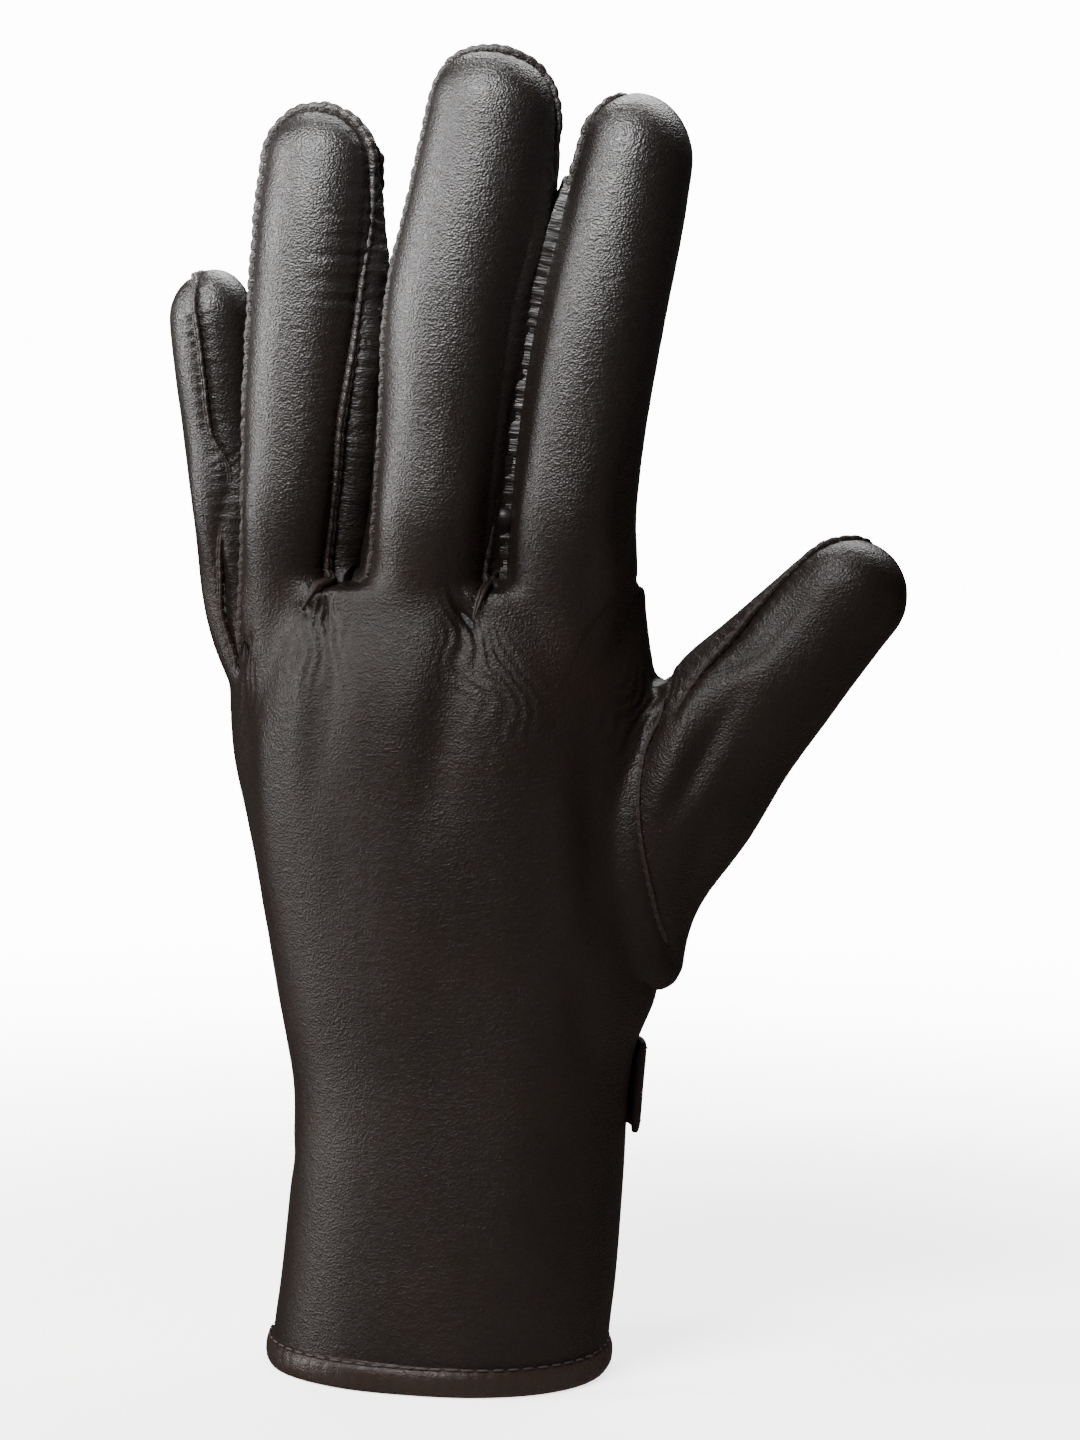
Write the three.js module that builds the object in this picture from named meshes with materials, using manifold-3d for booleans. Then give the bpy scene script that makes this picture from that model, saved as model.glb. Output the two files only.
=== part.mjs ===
// Leather touchscreen glove for a left hand, filled out as if worn, standing on its cuff hem.
// Millimetres. +Z points to the fingertips, the back of the hand faces -Y, the thumb points to +X.
// The leather and the knitted lining are shells of one hand-shaped solid. They are cut where the
// fingers bend, along the side strips between the fingers, and round the root of the thumb.

import * as THREE from "three";
import { ParametricGeometry } from "three/addons/geometries/ParametricGeometry.js";
import { mergeVertices } from "three/addons/utils/BufferGeometryUtils.js";
import Module from "manifold-3d";

const wasm = await Module();
wasm.setup();

// ---------------------------------------------------------------- driving dimensions

const LEATHER = 1.2;
const LINING = 0.8;
const GAP = 0.3;
const LINING_OUTSIDE = LEATHER + GAP;
const LINING_INSIDE = LINING_OUTSIDE + LINING;

const HEM_HEIGHT = 6;
const HEM_PROUD = 0.7;
const HEM_INSIDE = LINING_INSIDE + 0.4;

const WEB_HEIGHT = 156;
const WEB_DROP = 11;
const WEB_SLOPE = [-24, -40];
const ROUND = 2.3;
const HAND_SIDES = 26;
const FINGER_SIDES = 12;
const TIP_RINGS = 3;

const KNUCKLE_BEND = 70;
const MIDDLE_BEND = 85;
const END_BEND = 42.5;
const THUMB_CLOSE = 18;
const THUMB_OPEN = 12;
const THUMB_BEND = 60;
const JOINT_TO_PALM = 1.5;
const JOINT_GAP = 0.25;

// The model is laid out about the cuff's axis and then moved, so that its box is centred on the origin.
const CUFF_FROM_CENTRE = -17.55;

const STRIP_HALF_WIDTH = 5;
const VENT = { x: -8, width: 3.5, top: 56 };
const STRAP = { low: 48, high: 66, thickness: 1.8, clearance: 0.9 };
const SNAP = {
  cap: 6,
  capHeight: 1.2,
  socket: 5,
  hole: 3.8,
  stud: 2.9,
  studHeight: 1.4,
  shank: 1.2,
  post: 4.4,
};
const PAD = { thickness: 0.6, halfWidth: 6.5, halfLength: 7.5, indexHeight: 237, thumbHeight: 153 };

// Sections of the hand and cuff, from the hem up: height, centre x, half width, centre y, half depth.
const HAND = [
  [0, 0.3, 33, 0, 26.5],
  [20, 1.5, 32.7, 0, 25.2],
  [38, 3.6, 31.8, 0, 23.8],
  [57, 4.7, 32.2, 0.5, 22.5],
  [76, 3.8, 35.4, 1, 22],
  [95, 3.6, 38.5, 1.5, 21.5],
  [115, 1.5, 40.9, 1.5, 20.3],
  [134, -1.1, 43.6, 1, 18.2],
  [158, -4.8, 44.4, 0, 15],
];

// Each finger from inside the palm to the start of its rounded tip: x, y, z, half width, half depth.
// turn is how far its palm side is turned towards the thumb, sides are the sides with a side strip.
const FINGERS = {
  index: {
    turn: 0,
    sides: [-1],
    joints: [170, 197, 224],
    tip: [40.3, 1.5, 251],
    keys: [
      [24.5, -1, 138, 12, 11.2],
      [27.5, -2, 165, 11.8, 11.2],
      [30.2, -3, 190, 11.8, 11.1],
      [33.4, -2.5, 211, 11.9, 10.9],
      [37, -1, 229, 11.5, 10.4],
      [38.9, 0, 239, 10.8, 9.8],
    ],
  },
  middle: {
    turn: 0,
    sides: [-1, 1],
    joints: [171, 202, 232],
    tip: [12.6, -2.5, 260],
    keys: [
      [-2.5, -4, 138, 12.2, 11.6],
      [0.4, -5, 165, 12.2, 11.6],
      [2.5, -6, 190, 12.4, 11.6],
      [4.4, -6, 211, 12.7, 11.4],
      [8.3, -5, 229, 12.7, 11],
      [11.3, -3.8, 247, 12, 10.2],
    ],
  },
  ring: {
    turn: 12,
    sides: [-1, 1],
    joints: [170, 195, 222],
    tip: [-24, 2, 248.5],
    keys: [
      [-30, 0, 138, 9.8, 10],
      [-29, -1, 165, 9.8, 10.1],
      [-27.2, -2, 190, 10.2, 10.4],
      [-25.9, -1.5, 211, 10.6, 10.3],
      [-24.8, -0.5, 229, 10.6, 9.9],
      [-24.3, 0.5, 237.5, 10.4, 9.3],
    ],
  },
  little: {
    turn: 12,
    sides: [1],
    joints: [155.5, 175, 194],
    tip: [-48.6, 9, 216],
    keys: [
      [-37, 10.2, 129, 6.3, 6.3],
      [-41.8, 13.4, 148, 7.7, 7.8],
      [-43.8, 13.2, 165, 7.7, 7.8],
      [-45.6, 11.5, 185, 7.8, 7.8],
      [-47.2, 9.8, 200, 7.8, 7.7],
      [-48, 9.3, 207, 7.6, 7.5],
    ],
  },
};

const THUMB = {
  turn: 0,
  base: [48.8, 7, 118.5],
  bend: [68.7, 8.1, 143],
  tip: [87.2, 9, 163.7],
  keys: [
    [28.5, 5, 88, 19, 14],
    [36, 6, 102, 18, 15],
    [47.9, 7, 117.5, 16.8, 14.6],
    [54.7, 7.5, 126.7, 15.2, 13.2],
    [66.8, 8, 140.6, 13, 11.8],
    [79.5, 8.6, 155, 11, 10],
  ],
};

const COLOURS = {
  leather: { color: 0x241b19, roughness: 0.45, metalness: 0 },
  strip: { color: 0x1d1614, roughness: 0.5, metalness: 0 },
  lining: { color: 0x2c2a2a, roughness: 0.95, metalness: 0 },
  metal: { color: 0x2f2c2a, roughness: 0.3, metalness: 0.9 },
  pad: { color: 0x1a1716, roughness: 0.6, metalness: 0 },
};

// ---------------------------------------------------------------- solids and their cuts

// A closed geometry as a solid, turned right side out.
function solid(geometry) {
  const plain = new THREE.BufferGeometry();
  plain.setAttribute("position", geometry.getAttribute("position"));
  if (geometry.index) plain.setIndex(geometry.index);
  const merged = mergeVertices(plain);
  const faces = [];
  for (let i = 0; i < merged.index.count; i += 3) {
    const [a, b, c] = [0, 1, 2].map((k) => merged.index.getX(i + k));
    if (a !== b && b !== c && c !== a) faces.push(a, b, c);
  }
  const made = (triangles) =>
    new wasm.Manifold(
      new wasm.Mesh({
        numProp: 3,
        vertProperties: new Float32Array(merged.getAttribute("position").array),
        triVerts: new Uint32Array(triangles),
      }),
    );
  const first = made(faces);
  return first.volume() > 0 ? first : made([...faces].reverse());
}

function box(low, high) {
  const size = high.map((value, k) => value - low[k]);
  const geometry = new THREE.BoxGeometry(...size);
  geometry.translate(...low.map((value, k) => value + size[k] / 2));
  return solid(geometry);
}

// An outline drawn in the plane of two directions, extruded both ways along their normal.
function prism(outline, centre, across, up, halfLength) {
  const shape = new THREE.Shape(outline.map(([x, y]) => new THREE.Vector2(x, y)));
  const geometry = new THREE.ExtrudeGeometry(shape, { depth: 2 * halfLength, bevelEnabled: false });
  geometry.translate(0, 0, -halfLength);
  const normal = new THREE.Vector3().crossVectors(across, up);
  geometry.applyMatrix4(new THREE.Matrix4().makeBasis(across, up, normal).setPosition(centre));
  return solid(geometry);
}

// A stack of closed rings with a point at each end, as one solid.
function stack(ringCount, sides, pointOf) {
  const last = ringCount + 1;
  const place = (u, v, target) => {
    const ring = Math.round(v * last);
    const angle = (2 * Math.PI * (Math.round(u * sides) % sides)) / sides;
    target.copy(pointOf(ring, angle));
  };
  return solid(new ParametricGeometry(place, sides, last));
}

function joined(solids) {
  return solids.reduce((sum, next) => sum.add(next));
}

// ---------------------------------------------------------------- the hand's form

const UP = new THREE.Vector3(0, 0, 1);
const smooth = (value) => THREE.MathUtils.smoothstep(value, 0, 1);

// The row of the hand's table at any height.
function handSection(z) {
  const curve = (k) => new THREE.CatmullRomCurve3(HAND.map((row) => new THREE.Vector3(row[k], row[0], 0)));
  const last = HAND.length - 1;
  const height = THREE.MathUtils.clamp(z, 0, HAND[last][0]);
  const row = Math.max(1, HAND.findIndex((next) => next[0] >= height - 1e-6));
  const [below, above] = [HAND[row - 1][0], HAND[row][0]];
  const t = (row - 1 + (height - below) / (above - below)) / last;
  return [1, 2, 3, 4].map((k) => curve(k).getPoint(t).x);
}

// The knuckles arch: both edges of the hand curve to the palm side, the little-finger edge most.
function archAt(x, z) {
  const full = smooth((z - 60) / 90);
  return full * (-4 + 0.0044 * x * x + 0.02 * Math.max(0, -x - 22) ** 2);
}

function handOutline(angle, z) {
  const [centreX, halfWidth, centreY, halfDepth] = handSection(z);
  const power = (value) => Math.sign(value) * Math.abs(value) ** (2 / ROUND);
  const x = centreX + halfWidth * power(Math.cos(angle));
  const y = centreY + halfDepth * power(Math.sin(angle)) + archAt(x, z);
  return new THREE.Vector3(x, y, z);
}

// A point of the outline moved in by an inset, square to the outline.
function handPoint(angle, z, inset) {
  const step = 0.1;
  const outward = handOutline(angle + step, z).sub(handOutline(angle - step, z));
  outward.set(outward.y, -outward.x, 0).normalize();
  return handOutline(angle, z).addScaledVector(outward, -inset);
}

// Everything below the web, which is lower on the little-finger side.
function belowWeb(inset) {
  const steps = 8;
  const outline = [
    [-80, -10],
    [80, -10],
    [80, WEB_HEIGHT - inset],
  ];
  for (let k = 0; k <= steps; k++) {
    const share = k / steps;
    const x = THREE.MathUtils.lerp(WEB_SLOPE[0], WEB_SLOPE[1], share);
    outline.push([x, WEB_HEIGHT - inset - WEB_DROP * smooth(share)]);
  }
  outline.push([-80, WEB_HEIGHT - inset - WEB_DROP]);
  return prism(outline, new THREE.Vector3(), new THREE.Vector3(1, 0, 0), UP, 90);
}

function handSolid(inset) {
  const heights = HAND.map((row) => row[0]);
  heights[0] = -2;
  const rings = heights.length;
  const capX = -18;
  const ringPoint = (ring, angle) => {
    const z = heights[THREE.MathUtils.clamp(ring - 1, 0, rings - 1)];
    if (ring > 0 && ring <= rings) return handPoint(angle, z, inset);
    return new THREE.Vector3(capX, archAt(capX, z), z);
  };
  return stack(rings, HAND_SIDES, ringPoint).intersect(belowWeb(inset));
}

// A finger or thumb: its centre line, its directions and its half sizes at any share of its length.
function limbOf(limb) {
  const points = limb.keys.map(([x, y, z]) => new THREE.Vector3(x, y, z));
  const sizes = limb.keys.map((key) => new THREE.Vector3(key[3], key[4], 0));
  const turn = THREE.MathUtils.degToRad(limb.turn);
  const palmward = new THREE.Vector3(Math.sin(turn), Math.cos(turn), 0);
  const line = new THREE.CatmullRomCurve3(points);
  const size = new THREE.CatmullRomCurve3(sizes);
  const at = (t) => {
    const along = line.getTangent(t);
    const wide = new THREE.Vector3().crossVectors(palmward, along).normalize();
    const deep = new THREE.Vector3().crossVectors(along, wide);
    return { centre: line.getPoint(t), along, wide, deep, size: size.getPoint(t) };
  };
  const shareAt = (test) => {
    let [low, high] = [0, 1];
    for (let k = 0; k < 30; k++) {
      const middle = (low + high) / 2;
      if (test(line.getPoint(middle))) low = middle;
      else high = middle;
    }
    return low;
  };
  return { ...limb, palmward, at, shareAt, end: new THREE.Vector3(...limb.tip), count: points.length };
}

function limbSolid(limb, inset) {
  const rings = limb.count + TIP_RINGS - 1;
  const edge = limb.at(1);
  const reach = limb.end.clone().sub(edge.centre);
  const tipLength = reach.length() - inset;
  reach.normalize();
  const ringPoint = (ring, angle) => {
    if (ring === 0) return limb.at(0).centre;
    if (ring === rings + 1) return edge.centre.clone().addScaledVector(reach, tipLength);
    const pastEdge = Math.max(0, ring - limb.count);
    const rise = (pastEdge / TIP_RINGS) * (Math.PI / 2);
    const { centre, wide, deep, size } = limb.at(Math.min(1, (ring - 1) / (limb.count - 1)));
    return centre
      .clone()
      .addScaledVector(reach, pastEdge ? tipLength * Math.sin(rise) : 0)
      .addScaledVector(wide, (size.x - inset) * Math.cos(angle) * Math.cos(rise))
      .addScaledVector(deep, (size.y - inset) * Math.sin(angle) * Math.cos(rise));
  };
  return stack(rings, FINGER_SIDES, ringPoint);
}

const fingers = Object.fromEntries(Object.entries(FINGERS).map(([name, limb]) => [name, limbOf(limb)]));
const thumb = limbOf(THUMB);

function formSolid(inset) {
  const limbs = [...Object.values(fingers), thumb];
  return joined([handSolid(inset), ...limbs.map((limb) => limbSolid(limb, inset))]);
}

// ---------------------------------------------------------------- cuts where the glove bends

// A thin slot on the back of the joint that widens to a wedge on the palm side.
function bendCut(centre, palmward, along, degrees, reach) {
  const open = reach * Math.tan(THREE.MathUtils.degToRad(degrees / 2));
  const outline = [
    [-reach, -JOINT_GAP],
    [0, -JOINT_GAP],
    [reach, -JOINT_GAP - open],
    [reach, JOINT_GAP + open],
    [0, JOINT_GAP],
    [-reach, JOINT_GAP],
  ];
  return prism(outline, centre, palmward, along, reach);
}

function fingerCuts(limb) {
  const bends = [KNUCKLE_BEND, MIDDLE_BEND, END_BEND];
  const around = limbSolid(limb, -0.5);
  return limb.joints.map((height, k) => {
    const centre = limb.at(limb.shareAt((point) => point.z < height)).centre.clone();
    centre.addScaledVector(limb.palmward, JOINT_TO_PALM);
    return bendCut(centre, limb.palmward, UP, bends[k], 24).intersect(around);
  });
}

// The thumb swings in the plane of the hand, so its slot widens to both sides.
function thumbSwingCut() {
  const halfOpen = (degrees, reach) => JOINT_GAP + reach * Math.tan(THREE.MathUtils.degToRad(degrees / 2));
  const [above, below] = [32, 42];
  const outline = [
    [-JOINT_GAP, 0],
    [-halfOpen(THUMB_OPEN, below), -below],
    [halfOpen(THUMB_OPEN, below), -below],
    [JOINT_GAP, 0],
    [halfOpen(THUMB_CLOSE, above), above],
    [-halfOpen(THUMB_CLOSE, above), above],
  ];
  return prism(outline, new THREE.Vector3(...THUMB.base), new THREE.Vector3(1, 0, 0), UP, 30);
}

function thumbBendCut() {
  const share = thumb.shareAt((point) => point.z < THUMB.bend[2]);
  const { centre, along } = thumb.at(share);
  const palmward = new THREE.Vector3(0, 1, 0);
  palmward.addScaledVector(along, -along.y).normalize();
  return bendCut(centre.addScaledVector(palmward, JOINT_TO_PALM), palmward, along, THUMB_BEND, 24);
}

// A bar that follows one side of a finger and holds the strip of leather there.
function sideBar(limb, side, spread) {
  const rings = 7;
  const corner = (ring, angle) => {
    const t = THREE.MathUtils.clamp((ring - 1) / (rings - 1), 0, 1);
    const { centre, wide, deep, size } = limb.at(t);
    const half = STRIP_HALF_WIDTH + spread;
    const across = size.x + 3;
    const isEnd = ring === 0 || ring === rings + 1;
    const inner = Math.cos(angle) < 0;
    const deepShare = isEnd ? 0 : Math.sign(Math.sin(angle));
    return centre
      .clone()
      .addScaledVector(wide, side * (isEnd || inner ? 1 : across))
      .addScaledVector(deep, deepShare * half);
  };
  return stack(rings, 4, (ring, angle) => corner(ring, angle + Math.PI / 4));
}

// ---------------------------------------------------------------- the scene graph

const group = new THREE.Group();
group.position.x = CUFF_FROM_CENTRE;

function addNode(name, piece, look) {
  const { vertProperties, triVerts } = piece.getMesh();
  const geometry = new THREE.BufferGeometry();
  geometry.setAttribute("position", new THREE.BufferAttribute(new Float32Array(vertProperties), 3));
  geometry.setIndex([...triVerts]);
  geometry.computeVertexNormals();
  const node = new THREE.Mesh(geometry, new THREE.MeshStandardMaterial(COLOURS[look]));
  node.name = name;
  group.add(node);
}

function centreOf(piece) {
  const { min, max } = piece.boundingBox();
  return new THREE.Vector3(...min).add(new THREE.Vector3(...max)).multiplyScalar(0.5);
}

function largest(piece) {
  return piece.decompose().sort((a, b) => b.volume() - a.volume())[0];
}

const ROOM = [
  [-90, -60, HEM_HEIGHT + GAP],
  [120, 70, 300],
];
const aboveHem = box(...ROOM);
const bendCuts = [...Object.values(fingers).flatMap(fingerCuts), thumbSwingCut(), thumbBendCut()];
const vent = box(
  [VENT.x - VENT.width / 2, 5, -5],
  [VENT.x + VENT.width / 2, 60, VENT.top],
);

// A shell between two insets, cut at every bend: the largest piece is the hand's.
function cutShell(outside, inside) {
  const shell = formSolid(outside).subtract(formSolid(inside)).intersect(aboveHem).subtract(vent);
  const pieces = bendCuts.reduce((rest, cut) => rest.subtract(cut), shell).decompose();
  return pieces.filter((piece) => piece.volume() > 5).sort((a, b) => b.volume() - a.volume());
}

// Which finger and which of its lengths a cut-off piece belongs to.
function placeOf(piece) {
  const centre = centreOf(piece);
  if (centre.x > THUMB.base[0] && centre.z < 175) {
    return { owner: "thumb", length: centre.x > THUMB.bend[0] ? 2 : 0 };
  }
  const distance = ([, limb]) => {
    const share = limb.shareAt((point) => point.z < centre.z);
    return limb.at(share).centre.distanceTo(centre);
  };
  const [owner, limb] = Object.entries(fingers).sort((a, b) => distance(a) - distance(b))[0];
  return { owner, length: limb.joints.filter((height) => height < centre.z).length - 1 };
}

const LENGTHS = ["lower", "upper", "tip"];

// ---------------------------------------------------------------- leather

const [handLeather, ...fingerLeather] = cutShell(0, LEATHER);

function addStripsAndFaces(piece, owner, length) {
  const limb = fingers[owner];
  const strips = limb.sides.map((side) => piece.intersect(sideBar(limb, side, -GAP / 2)));
  const rest = limb.sides.reduce((sum, side) => sum.subtract(sideBar(limb, side, GAP / 2)), piece);
  const sideName = { [-1]: "outer", 1: "inner" };
  limb.sides.forEach((side, k) => {
    addNode(`${owner}_${sideName[side]}_fourchette_${length}`, largest(strips[k]), "strip");
  });
  const faces = rest.decompose().filter((face) => face.volume() > 5);
  if (faces.length === 1) {
    addNode(`${owner}_trank_${length}`, faces[0], "leather");
    return;
  }
  faces.sort((a, b) => centreOf(a).y - centreOf(b).y);
  addNode(`${owner}_back_${length}`, faces[0], "leather");
  addNode(`${owner}_palm_${length}`, faces[1], "leather");
}

for (const piece of fingerLeather) {
  const { owner, length } = placeOf(piece);
  if (owner === "thumb") addNode(`thumb_${LENGTHS[length]}`, piece, "leather");
  else if (length === 2) addNode(`${owner}_trank_tip`, piece, "leather");
  else addStripsAndFaces(piece, owner, LENGTHS[length]);
}

// The thumb's root is what stands outside the hand's own form.
const thumbRoom = [
  [36, -30, 70],
  [80, 45, 145],
];
const thumbRoot = handLeather.intersect(box(...thumbRoom).subtract(handSolid(-GAP / 2)));
addNode("thumb_root", largest(thumbRoot), "leather");
let trank = handLeather.subtract(box(...thumbRoom).subtract(handSolid(GAP / 2)));

// Between two fingers a saddle joins the side strips of both.
function saddleRoom(left, right, spread) {
  const height = WEB_HEIGHT + 4;
  const near = (limb, side) => {
    const { centre, wide, size } = limb.at(limb.shareAt((point) => point.z < height));
    return centre.clone().addScaledVector(wide, side * (size.x * 0.72));
  };
  const [from, to] = [near(left, 1), near(right, -1)];
  const across = to.clone().sub(from).setZ(0);
  const reach = across.length() / 2 + spread;
  const middle = from.add(to).multiplyScalar(0.5).setZ(height);
  const half = STRIP_HALF_WIDTH + spread;
  const outline = [
    [-reach, -half],
    [reach, -half],
    [reach, half],
    [-reach, half],
  ];
  across.normalize();
  const deep = new THREE.Vector3().crossVectors(UP, across);
  return prism(outline, middle, across, deep, 17 + spread);
}

const SADDLES = [
  ["little", "ring"],
  ["ring", "middle"],
  ["middle", "index"],
];
for (const [left, right] of SADDLES) {
  const room = (spread) => saddleRoom(fingers[left], fingers[right], spread);
  addNode(`${left}_${right}_fourchette_root`, largest(trank.intersect(room(-GAP / 2))), "strip");
  trank = trank.subtract(room(GAP / 2));
}

// The back and the palm part along both edges of the hand.
const dividerOutline = [];
const dividerSteps = 12;
for (const side of [1, -1]) {
  for (let k = 0; k <= dividerSteps; k++) {
    const x = side * (-60 + (120 * k) / dividerSteps);
    dividerOutline.push([x, 1 + archAt(x, WEB_HEIGHT) - (side * GAP) / 2]);
  }
}
const divider = prism(
  dividerOutline,
  new THREE.Vector3(0, 0, 0),
  new THREE.Vector3(1, 0, 0),
  new THREE.Vector3(0, 1, 0),
  220,
);
const halves = trank.subtract(divider).decompose();
halves.sort((a, b) => b.volume() - a.volume());
const [backOfHand, palm] = halves.slice(0, 2).sort((a, b) => centreOf(a).y - centreOf(b).y);
addNode("back_of_hand", backOfHand, "leather");

// ---------------------------------------------------------------- touch pads

// A thin oval patch of conducting leather on the palm side of a fingertip.
function touchPad(limb, height) {
  const place = limb.at(limb.shareAt((point) => point.z < height));
  const outward = limb.palmward.clone();
  outward.addScaledVector(place.along, -place.along.dot(limb.palmward)).normalize();
  const sides = 12;
  const oval = Array.from({ length: sides }, (_, k) => {
    const angle = (2 * Math.PI * k) / sides;
    return [PAD.halfWidth * Math.cos(angle), PAD.halfLength * Math.sin(angle)];
  });
  const across = new THREE.Vector3().crossVectors(outward, place.along);
  const centre = place.centre.clone().addScaledVector(outward, 12);
  const column = prism(oval, centre, across, place.along, 11);
  return limbSolid(limb, -GAP - PAD.thickness).subtract(limbSolid(limb, -GAP)).intersect(column);
}

addNode("index_touch_pad", largest(touchPad(fingers.index, PAD.indexHeight)), "pad");
addNode("thumb_touch_pad", largest(touchPad(thumb, PAD.thumbHeight)), "pad");

// ---------------------------------------------------------------- hem

const hemSlab = box([-90, -60, 0], [120, 70, HEM_HEIGHT]);
const hem = handSolid(-HEM_PROUD).subtract(handSolid(HEM_INSIDE)).intersect(hemSlab).subtract(vent);
addNode("hem_band", largest(hem), "leather");

// ---------------------------------------------------------------- lining

const [handLining, ...fingerLining] = cutShell(LINING_OUTSIDE, LINING_INSIDE);
for (const piece of fingerLining) {
  const { owner, length } = placeOf(piece);
  addNode(`${owner}_lining_${LENGTHS[length]}`, piece, "lining");
}

// ---------------------------------------------------------------- strap and snap fastener

// The strap lies on the palm side of the wrist, from the thumb edge to past the vent.
const strapSlab = box([-24, 4, STRAP.low], [60, 60, STRAP.high]);
const strapShell = handSolid(-STRAP.clearance - STRAP.thickness).subtract(handSolid(-STRAP.clearance));
const strapBody = largest(strapShell.intersect(strapSlab));

const snapX = -16;
const snapZ = (STRAP.low + STRAP.high) / 2;
const snapAngle = Math.acos((snapX - handSection(snapZ)[0]) / handSection(snapZ)[1]);
const onPalm = handPoint(snapAngle, snapZ, 0);
const alongPalm = handPoint(snapAngle - 0.1, snapZ, 0).sub(handPoint(snapAngle + 0.1, snapZ, 0));
const outOfPalm = new THREE.Vector3().crossVectors(UP, alongPalm).normalize();

// A turned part on the line out of the palm through the snap, from its radii and heights.
function turned(profile) {
  const outline = profile.map(([radius, height]) => new THREE.Vector2(radius, height));
  const geometry = new THREE.LatheGeometry(outline, 12);
  const lean = new THREE.Quaternion().setFromUnitVectors(new THREE.Vector3(0, 1, 0), outOfPalm);
  geometry.applyQuaternion(lean);
  geometry.translate(onPalm.x, onPalm.y, onPalm.z);
  return solid(geometry);
}

const disc = (radius, from, to) => [
  [0, from],
  [radius, from],
  [radius, to],
  [0, to],
];
const ring = (inner, outer, from, to) => [
  [inner, from],
  [outer, from],
  [outer, to],
  [inner, to],
  [inner, from],
];

const strapTop = STRAP.clearance + STRAP.thickness;
const socketTop = strapTop - 0.5;
const postTop = -LEATHER - 0.7;
const postBottom = postTop - 0.7;

const socketPlace = turned(disc(SNAP.socket + GAP, -3, socketTop + GAP));
const capPlace = turned(disc(SNAP.cap + GAP, strapTop - 0.3, strapTop + 6));
addNode("strap", largest(strapBody.subtract(socketPlace).subtract(capPlace)), "leather");
addNode("snap_cap", turned(disc(SNAP.cap, strapTop, strapTop + SNAP.capHeight)), "metal");
addNode("snap_socket", turned(ring(SNAP.hole, SNAP.socket, 0.5, socketTop)), "metal");

const studOutline = [
  [0, postTop + GAP],
  [SNAP.shank, postTop + GAP],
  [SNAP.shank, 0.2],
  [SNAP.stud, 0.2],
  [SNAP.stud, SNAP.studHeight],
  [0, SNAP.studHeight],
];
addNode("snap_stud", turned(studOutline), "metal");
addNode("snap_post", turned(disc(SNAP.post, postBottom, postTop)), "metal");
addNode("palm", largest(palm.subtract(turned(disc(SNAP.shank + GAP, -6, 6)))), "leather");
const postPlace = turned(disc(SNAP.post + GAP, postBottom - GAP, 1));
addNode("hand_lining", largest(handLining.subtract(postPlace)), "lining");

export default group;
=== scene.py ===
import math

import bpy
import numpy as np
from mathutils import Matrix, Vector, noise
from mathutils.bvhtree import BVHTree
from mathutils.kdtree import KDTree


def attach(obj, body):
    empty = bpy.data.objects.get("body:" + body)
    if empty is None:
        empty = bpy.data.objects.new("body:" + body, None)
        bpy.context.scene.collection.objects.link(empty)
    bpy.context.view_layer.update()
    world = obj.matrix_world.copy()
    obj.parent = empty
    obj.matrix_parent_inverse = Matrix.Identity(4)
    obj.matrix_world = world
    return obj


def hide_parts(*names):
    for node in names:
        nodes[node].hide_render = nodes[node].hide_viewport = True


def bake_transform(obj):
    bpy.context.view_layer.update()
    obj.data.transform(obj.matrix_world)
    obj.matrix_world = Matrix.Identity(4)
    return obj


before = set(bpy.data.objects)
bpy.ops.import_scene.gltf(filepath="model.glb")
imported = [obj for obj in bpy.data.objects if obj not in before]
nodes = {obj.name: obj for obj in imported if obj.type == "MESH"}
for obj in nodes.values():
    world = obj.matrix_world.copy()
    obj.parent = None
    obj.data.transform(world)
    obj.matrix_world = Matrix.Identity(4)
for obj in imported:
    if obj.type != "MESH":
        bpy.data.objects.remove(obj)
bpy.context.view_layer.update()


# ---------------------------------------------------------------- camera, light and floor
# The glove stands on its hem on a pale floor, its back to the camera, seen a little from the
# thumb side and from just above. A tall soft light stands on the left, one hangs in front above
# the fingers, and one behind lights the floor.

CAMERA_TURN = math.radians(13)
CAMERA_RISE = math.radians(6.5)
CAMERA_ROLL = math.radians(0.6)
CAMERA_DISTANCE = 0.80
CAMERA_AIM = Vector((0.0020, 0.0043, 0.1293))
FRAME_HEIGHT = 0.2832
SENSOR_WIDTH = 36

camera_data = bpy.data.cameras.new("camera")
camera = bpy.data.objects.new("camera", camera_data)
bpy.context.scene.collection.objects.link(camera)
toward_camera = Vector((
    math.sin(CAMERA_TURN) * math.cos(CAMERA_RISE),
    -math.cos(CAMERA_TURN) * math.cos(CAMERA_RISE),
    math.sin(CAMERA_RISE),
))
camera.location = CAMERA_AIM + toward_camera * CAMERA_DISTANCE
camera.rotation_euler = (-toward_camera).to_track_quat("-Z", "Y").to_euler()
camera.rotation_euler.rotate_axis("Z", CAMERA_ROLL)
camera_data.sensor_width = SENSOR_WIDTH
camera_data.lens = SENSOR_WIDTH * CAMERA_DISTANCE / FRAME_HEIGHT
camera_data.clip_start = 0.01
bpy.context.scene.camera = camera


def linear(hex_colour):
    """A linear colour with alpha from an sRGB hex value."""
    parts = [int(hex_colour[k:k + 2], 16) / 255 for k in (1, 3, 5)]
    turned = [p / 12.92 if p <= 0.04045 else ((p + 0.055) / 1.055) ** 2.4 for p in parts]
    return (*turned, 1.0)


def node(tree, kind, links=None, **settings):
    """Adds one node: settings are its properties or its inputs' values, links are its inputs' sources."""
    made = tree.nodes.new(kind)
    for key, value in settings.items():
        if key.startswith("in_"):
            name = key[3:]
            made.inputs[int(name) if name.isdigit() else name.replace("_", " ")].default_value = value
        else:
            setattr(made, key, value)
    for key, source in (links or {}).items():
        tree.links.new(source, made.inputs[key])
    return made


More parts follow.
